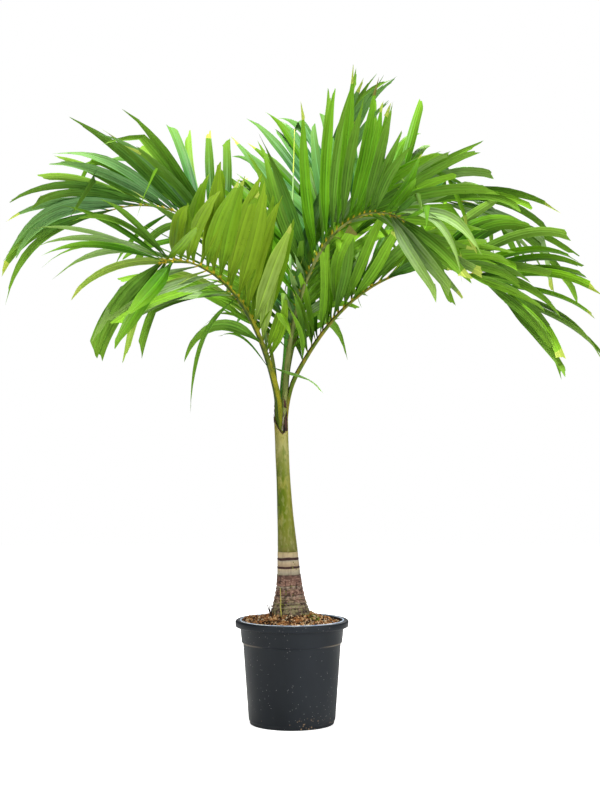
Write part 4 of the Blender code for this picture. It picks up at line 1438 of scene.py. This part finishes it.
def make_leaflets(name, half, frames, plan, start, end):
    draw = random.Random(f"{name} {half}")
    blunt = by_side(BLUNTNESS[name])
    kinds = []
    bm = bmesh.new()
    bm.loops.layers.uv.new("blade")
    for leaf in plan:
        if not start <= leaf["share"] < end:
            continue
        faces = grow_leaflet(bm, frames, leaf, draw, FRONDS[name]["kinks"], blunt[leaf["side"]])
        kind, tip = deal_greens(name, half, leaf, draw)
        kinds += [green for green in dict.fromkeys((kind, tip)) if green not in kinds]
        layer = bm.loops.layers.uv["blade"]
        for face in faces:
            along = sum(loop[layer].uv.y for loop in face.loops) / len(face.loops)
            green = tip if along > 1.0 - 1.0 / BLADE_STEPS else kind
            face.material_index = kinds.index(green)
    node = f"frond_{name}_{half}"
    finish_piece(bm, f"leaflets_{name}_{half}", [LEAVES[kind] for kind in kinds],
                 [node], sharp=BLADE_CREASE, closed=False)


def make_frond(name):
    frond = FRONDS[name]
    frames = frond_stations(frond, RACHIS_STATIONS)
    split = round(frond["split"] * STALK_SPLIT) / STALK_SPLIT
    material = stalk_material("stalk_" + name, *STALK_COLOURS[name])
    plan = leaflet_plan(finer(name))
    for half, start, end in (("inner", 0.0, split), ("outer", split, 1.0)):
        make_stalk(name, half, frames, start, end, material)
        make_leaflets(name, half, frames, plan, start, end)


for frond_name in FRONDS:
    make_frond(frond_name)

# %% [markdown]
# ## New leaf
# The newest leaf is still rolled into a spear. It is a slim tube with a slight bow, deep
# green below, pale above and yellow at the tip.

# %% New leaf
CORE_TOP = 1.060
SPEAR_FOOT = 0.90
SPEAR_LENGTH = 0.74
SPEAR_RADII = (0.00884, 0.0009)
SPEAR_BOW = 0.006
SPEAR_LEAN = (0.045, 0.060)
SPEAR_STEPS = 40
SPEAR_SIDES = 10
# The kinds of green up the spear, and the share of its height where each ends
SPEAR_KINDS = (("deep", 0.5), ("pale", 0.86), ("yellow_tip", 1.1))


def make_spear():
    bm = bmesh.new()
    layer = bm.loops.layers.uv.new("blade")
    foot = stem_centre(SPEAR_FOOT)
    tip = stem_centre(CORE_TOP) + Vector((*SPEAR_LEAN, SPEAR_LENGTH))
    line, radii = [], []
    for step in range(SPEAR_STEPS + 1):
        share = step / SPEAR_STEPS
        bow = Vector((SPEAR_BOW, 0.0, 0.0)) * math.sin(share * math.pi)
        line.append(foot.lerp(tip, share) + bow)
        radii.append(mix(*SPEAR_RADII, share ** 1.2))
    tube_along(bm, line, radii, SPEAR_SIDES)
    for face in bm.faces:
        share = (face.calc_center_median().z - foot.z) / (tip.z - foot.z)
        face.material_index = sum(share >= top for _, top in SPEAR_KINDS)
        for loop in face.loops:
            loop[layer].uv = (0.5, 0.5)
    kinds = [LEAVES[kind] for kind, _ in SPEAR_KINDS]
    finish_piece(bm, "rolled_leaf", kinds, ["spear_leaf"])


make_spear()

# %% [markdown]
# ## Small things on the soil
# A yellow straw leans against the trunk, and a dark forked twig sticks up beside it. Both
# are thin tubes through a few points.

# %% Straw and twig
STRAW_TOP = Vector((-0.0345, -0.0385, 0.408))
STRAW_FOOT = Vector((-0.032, -0.070, 0.326))
STRAW_STEPS = 8
STRAW_WANDER = 0.0006
TWIG_FOOT = Vector((-0.0615, -0.040, 0.322))
TWIG_STEPS = 6
TWIG_BENDS = 0.002
# How far each prong leans to the right, and its length
TWIG_PRONGS = ((-0.013, 0.038), (0.001, 0.036), (-0.007, 0.034))


def thinning(thick, thin, steps):
    return [mix(thick, thin, step / steps) for step in range(steps + 1)]


def make_straw():
    draw = random.Random(2)
    bm = bmesh.new()
    line = [STRAW_FOOT.lerp(STRAW_TOP, step / STRAW_STEPS)
            + Vector((draw.uniform(-1, 1) * STRAW_WANDER, 0, 0))
            for step in range(STRAW_STEPS + 1)]
    tube_along(bm, line, thinning(0.0017, 0.0008, STRAW_STEPS), 8)
    material = mottled("dry_straw", (0.6,), ((0.50, 0.44, 0.06), (0.34, 0.33, 0.05)),
                       (70.0, 0.4, 0.6))
    finish_piece(bm, "straw", [material])


def make_twig():
    bm = bmesh.new()
    for lean, length in TWIG_PRONGS:
        line = [TWIG_FOOT + Vector((lean, 0, length)) * (step / TWIG_STEPS)
                + Vector((0, TWIG_BENDS * math.sin(step), 0)) for step in range(TWIG_STEPS + 1)]
        tube_along(bm, line, thinning(0.0022, 0.0010, TWIG_STEPS), 6)
    finish_piece(bm, "twig", [HUSK])


make_straw()
make_twig()
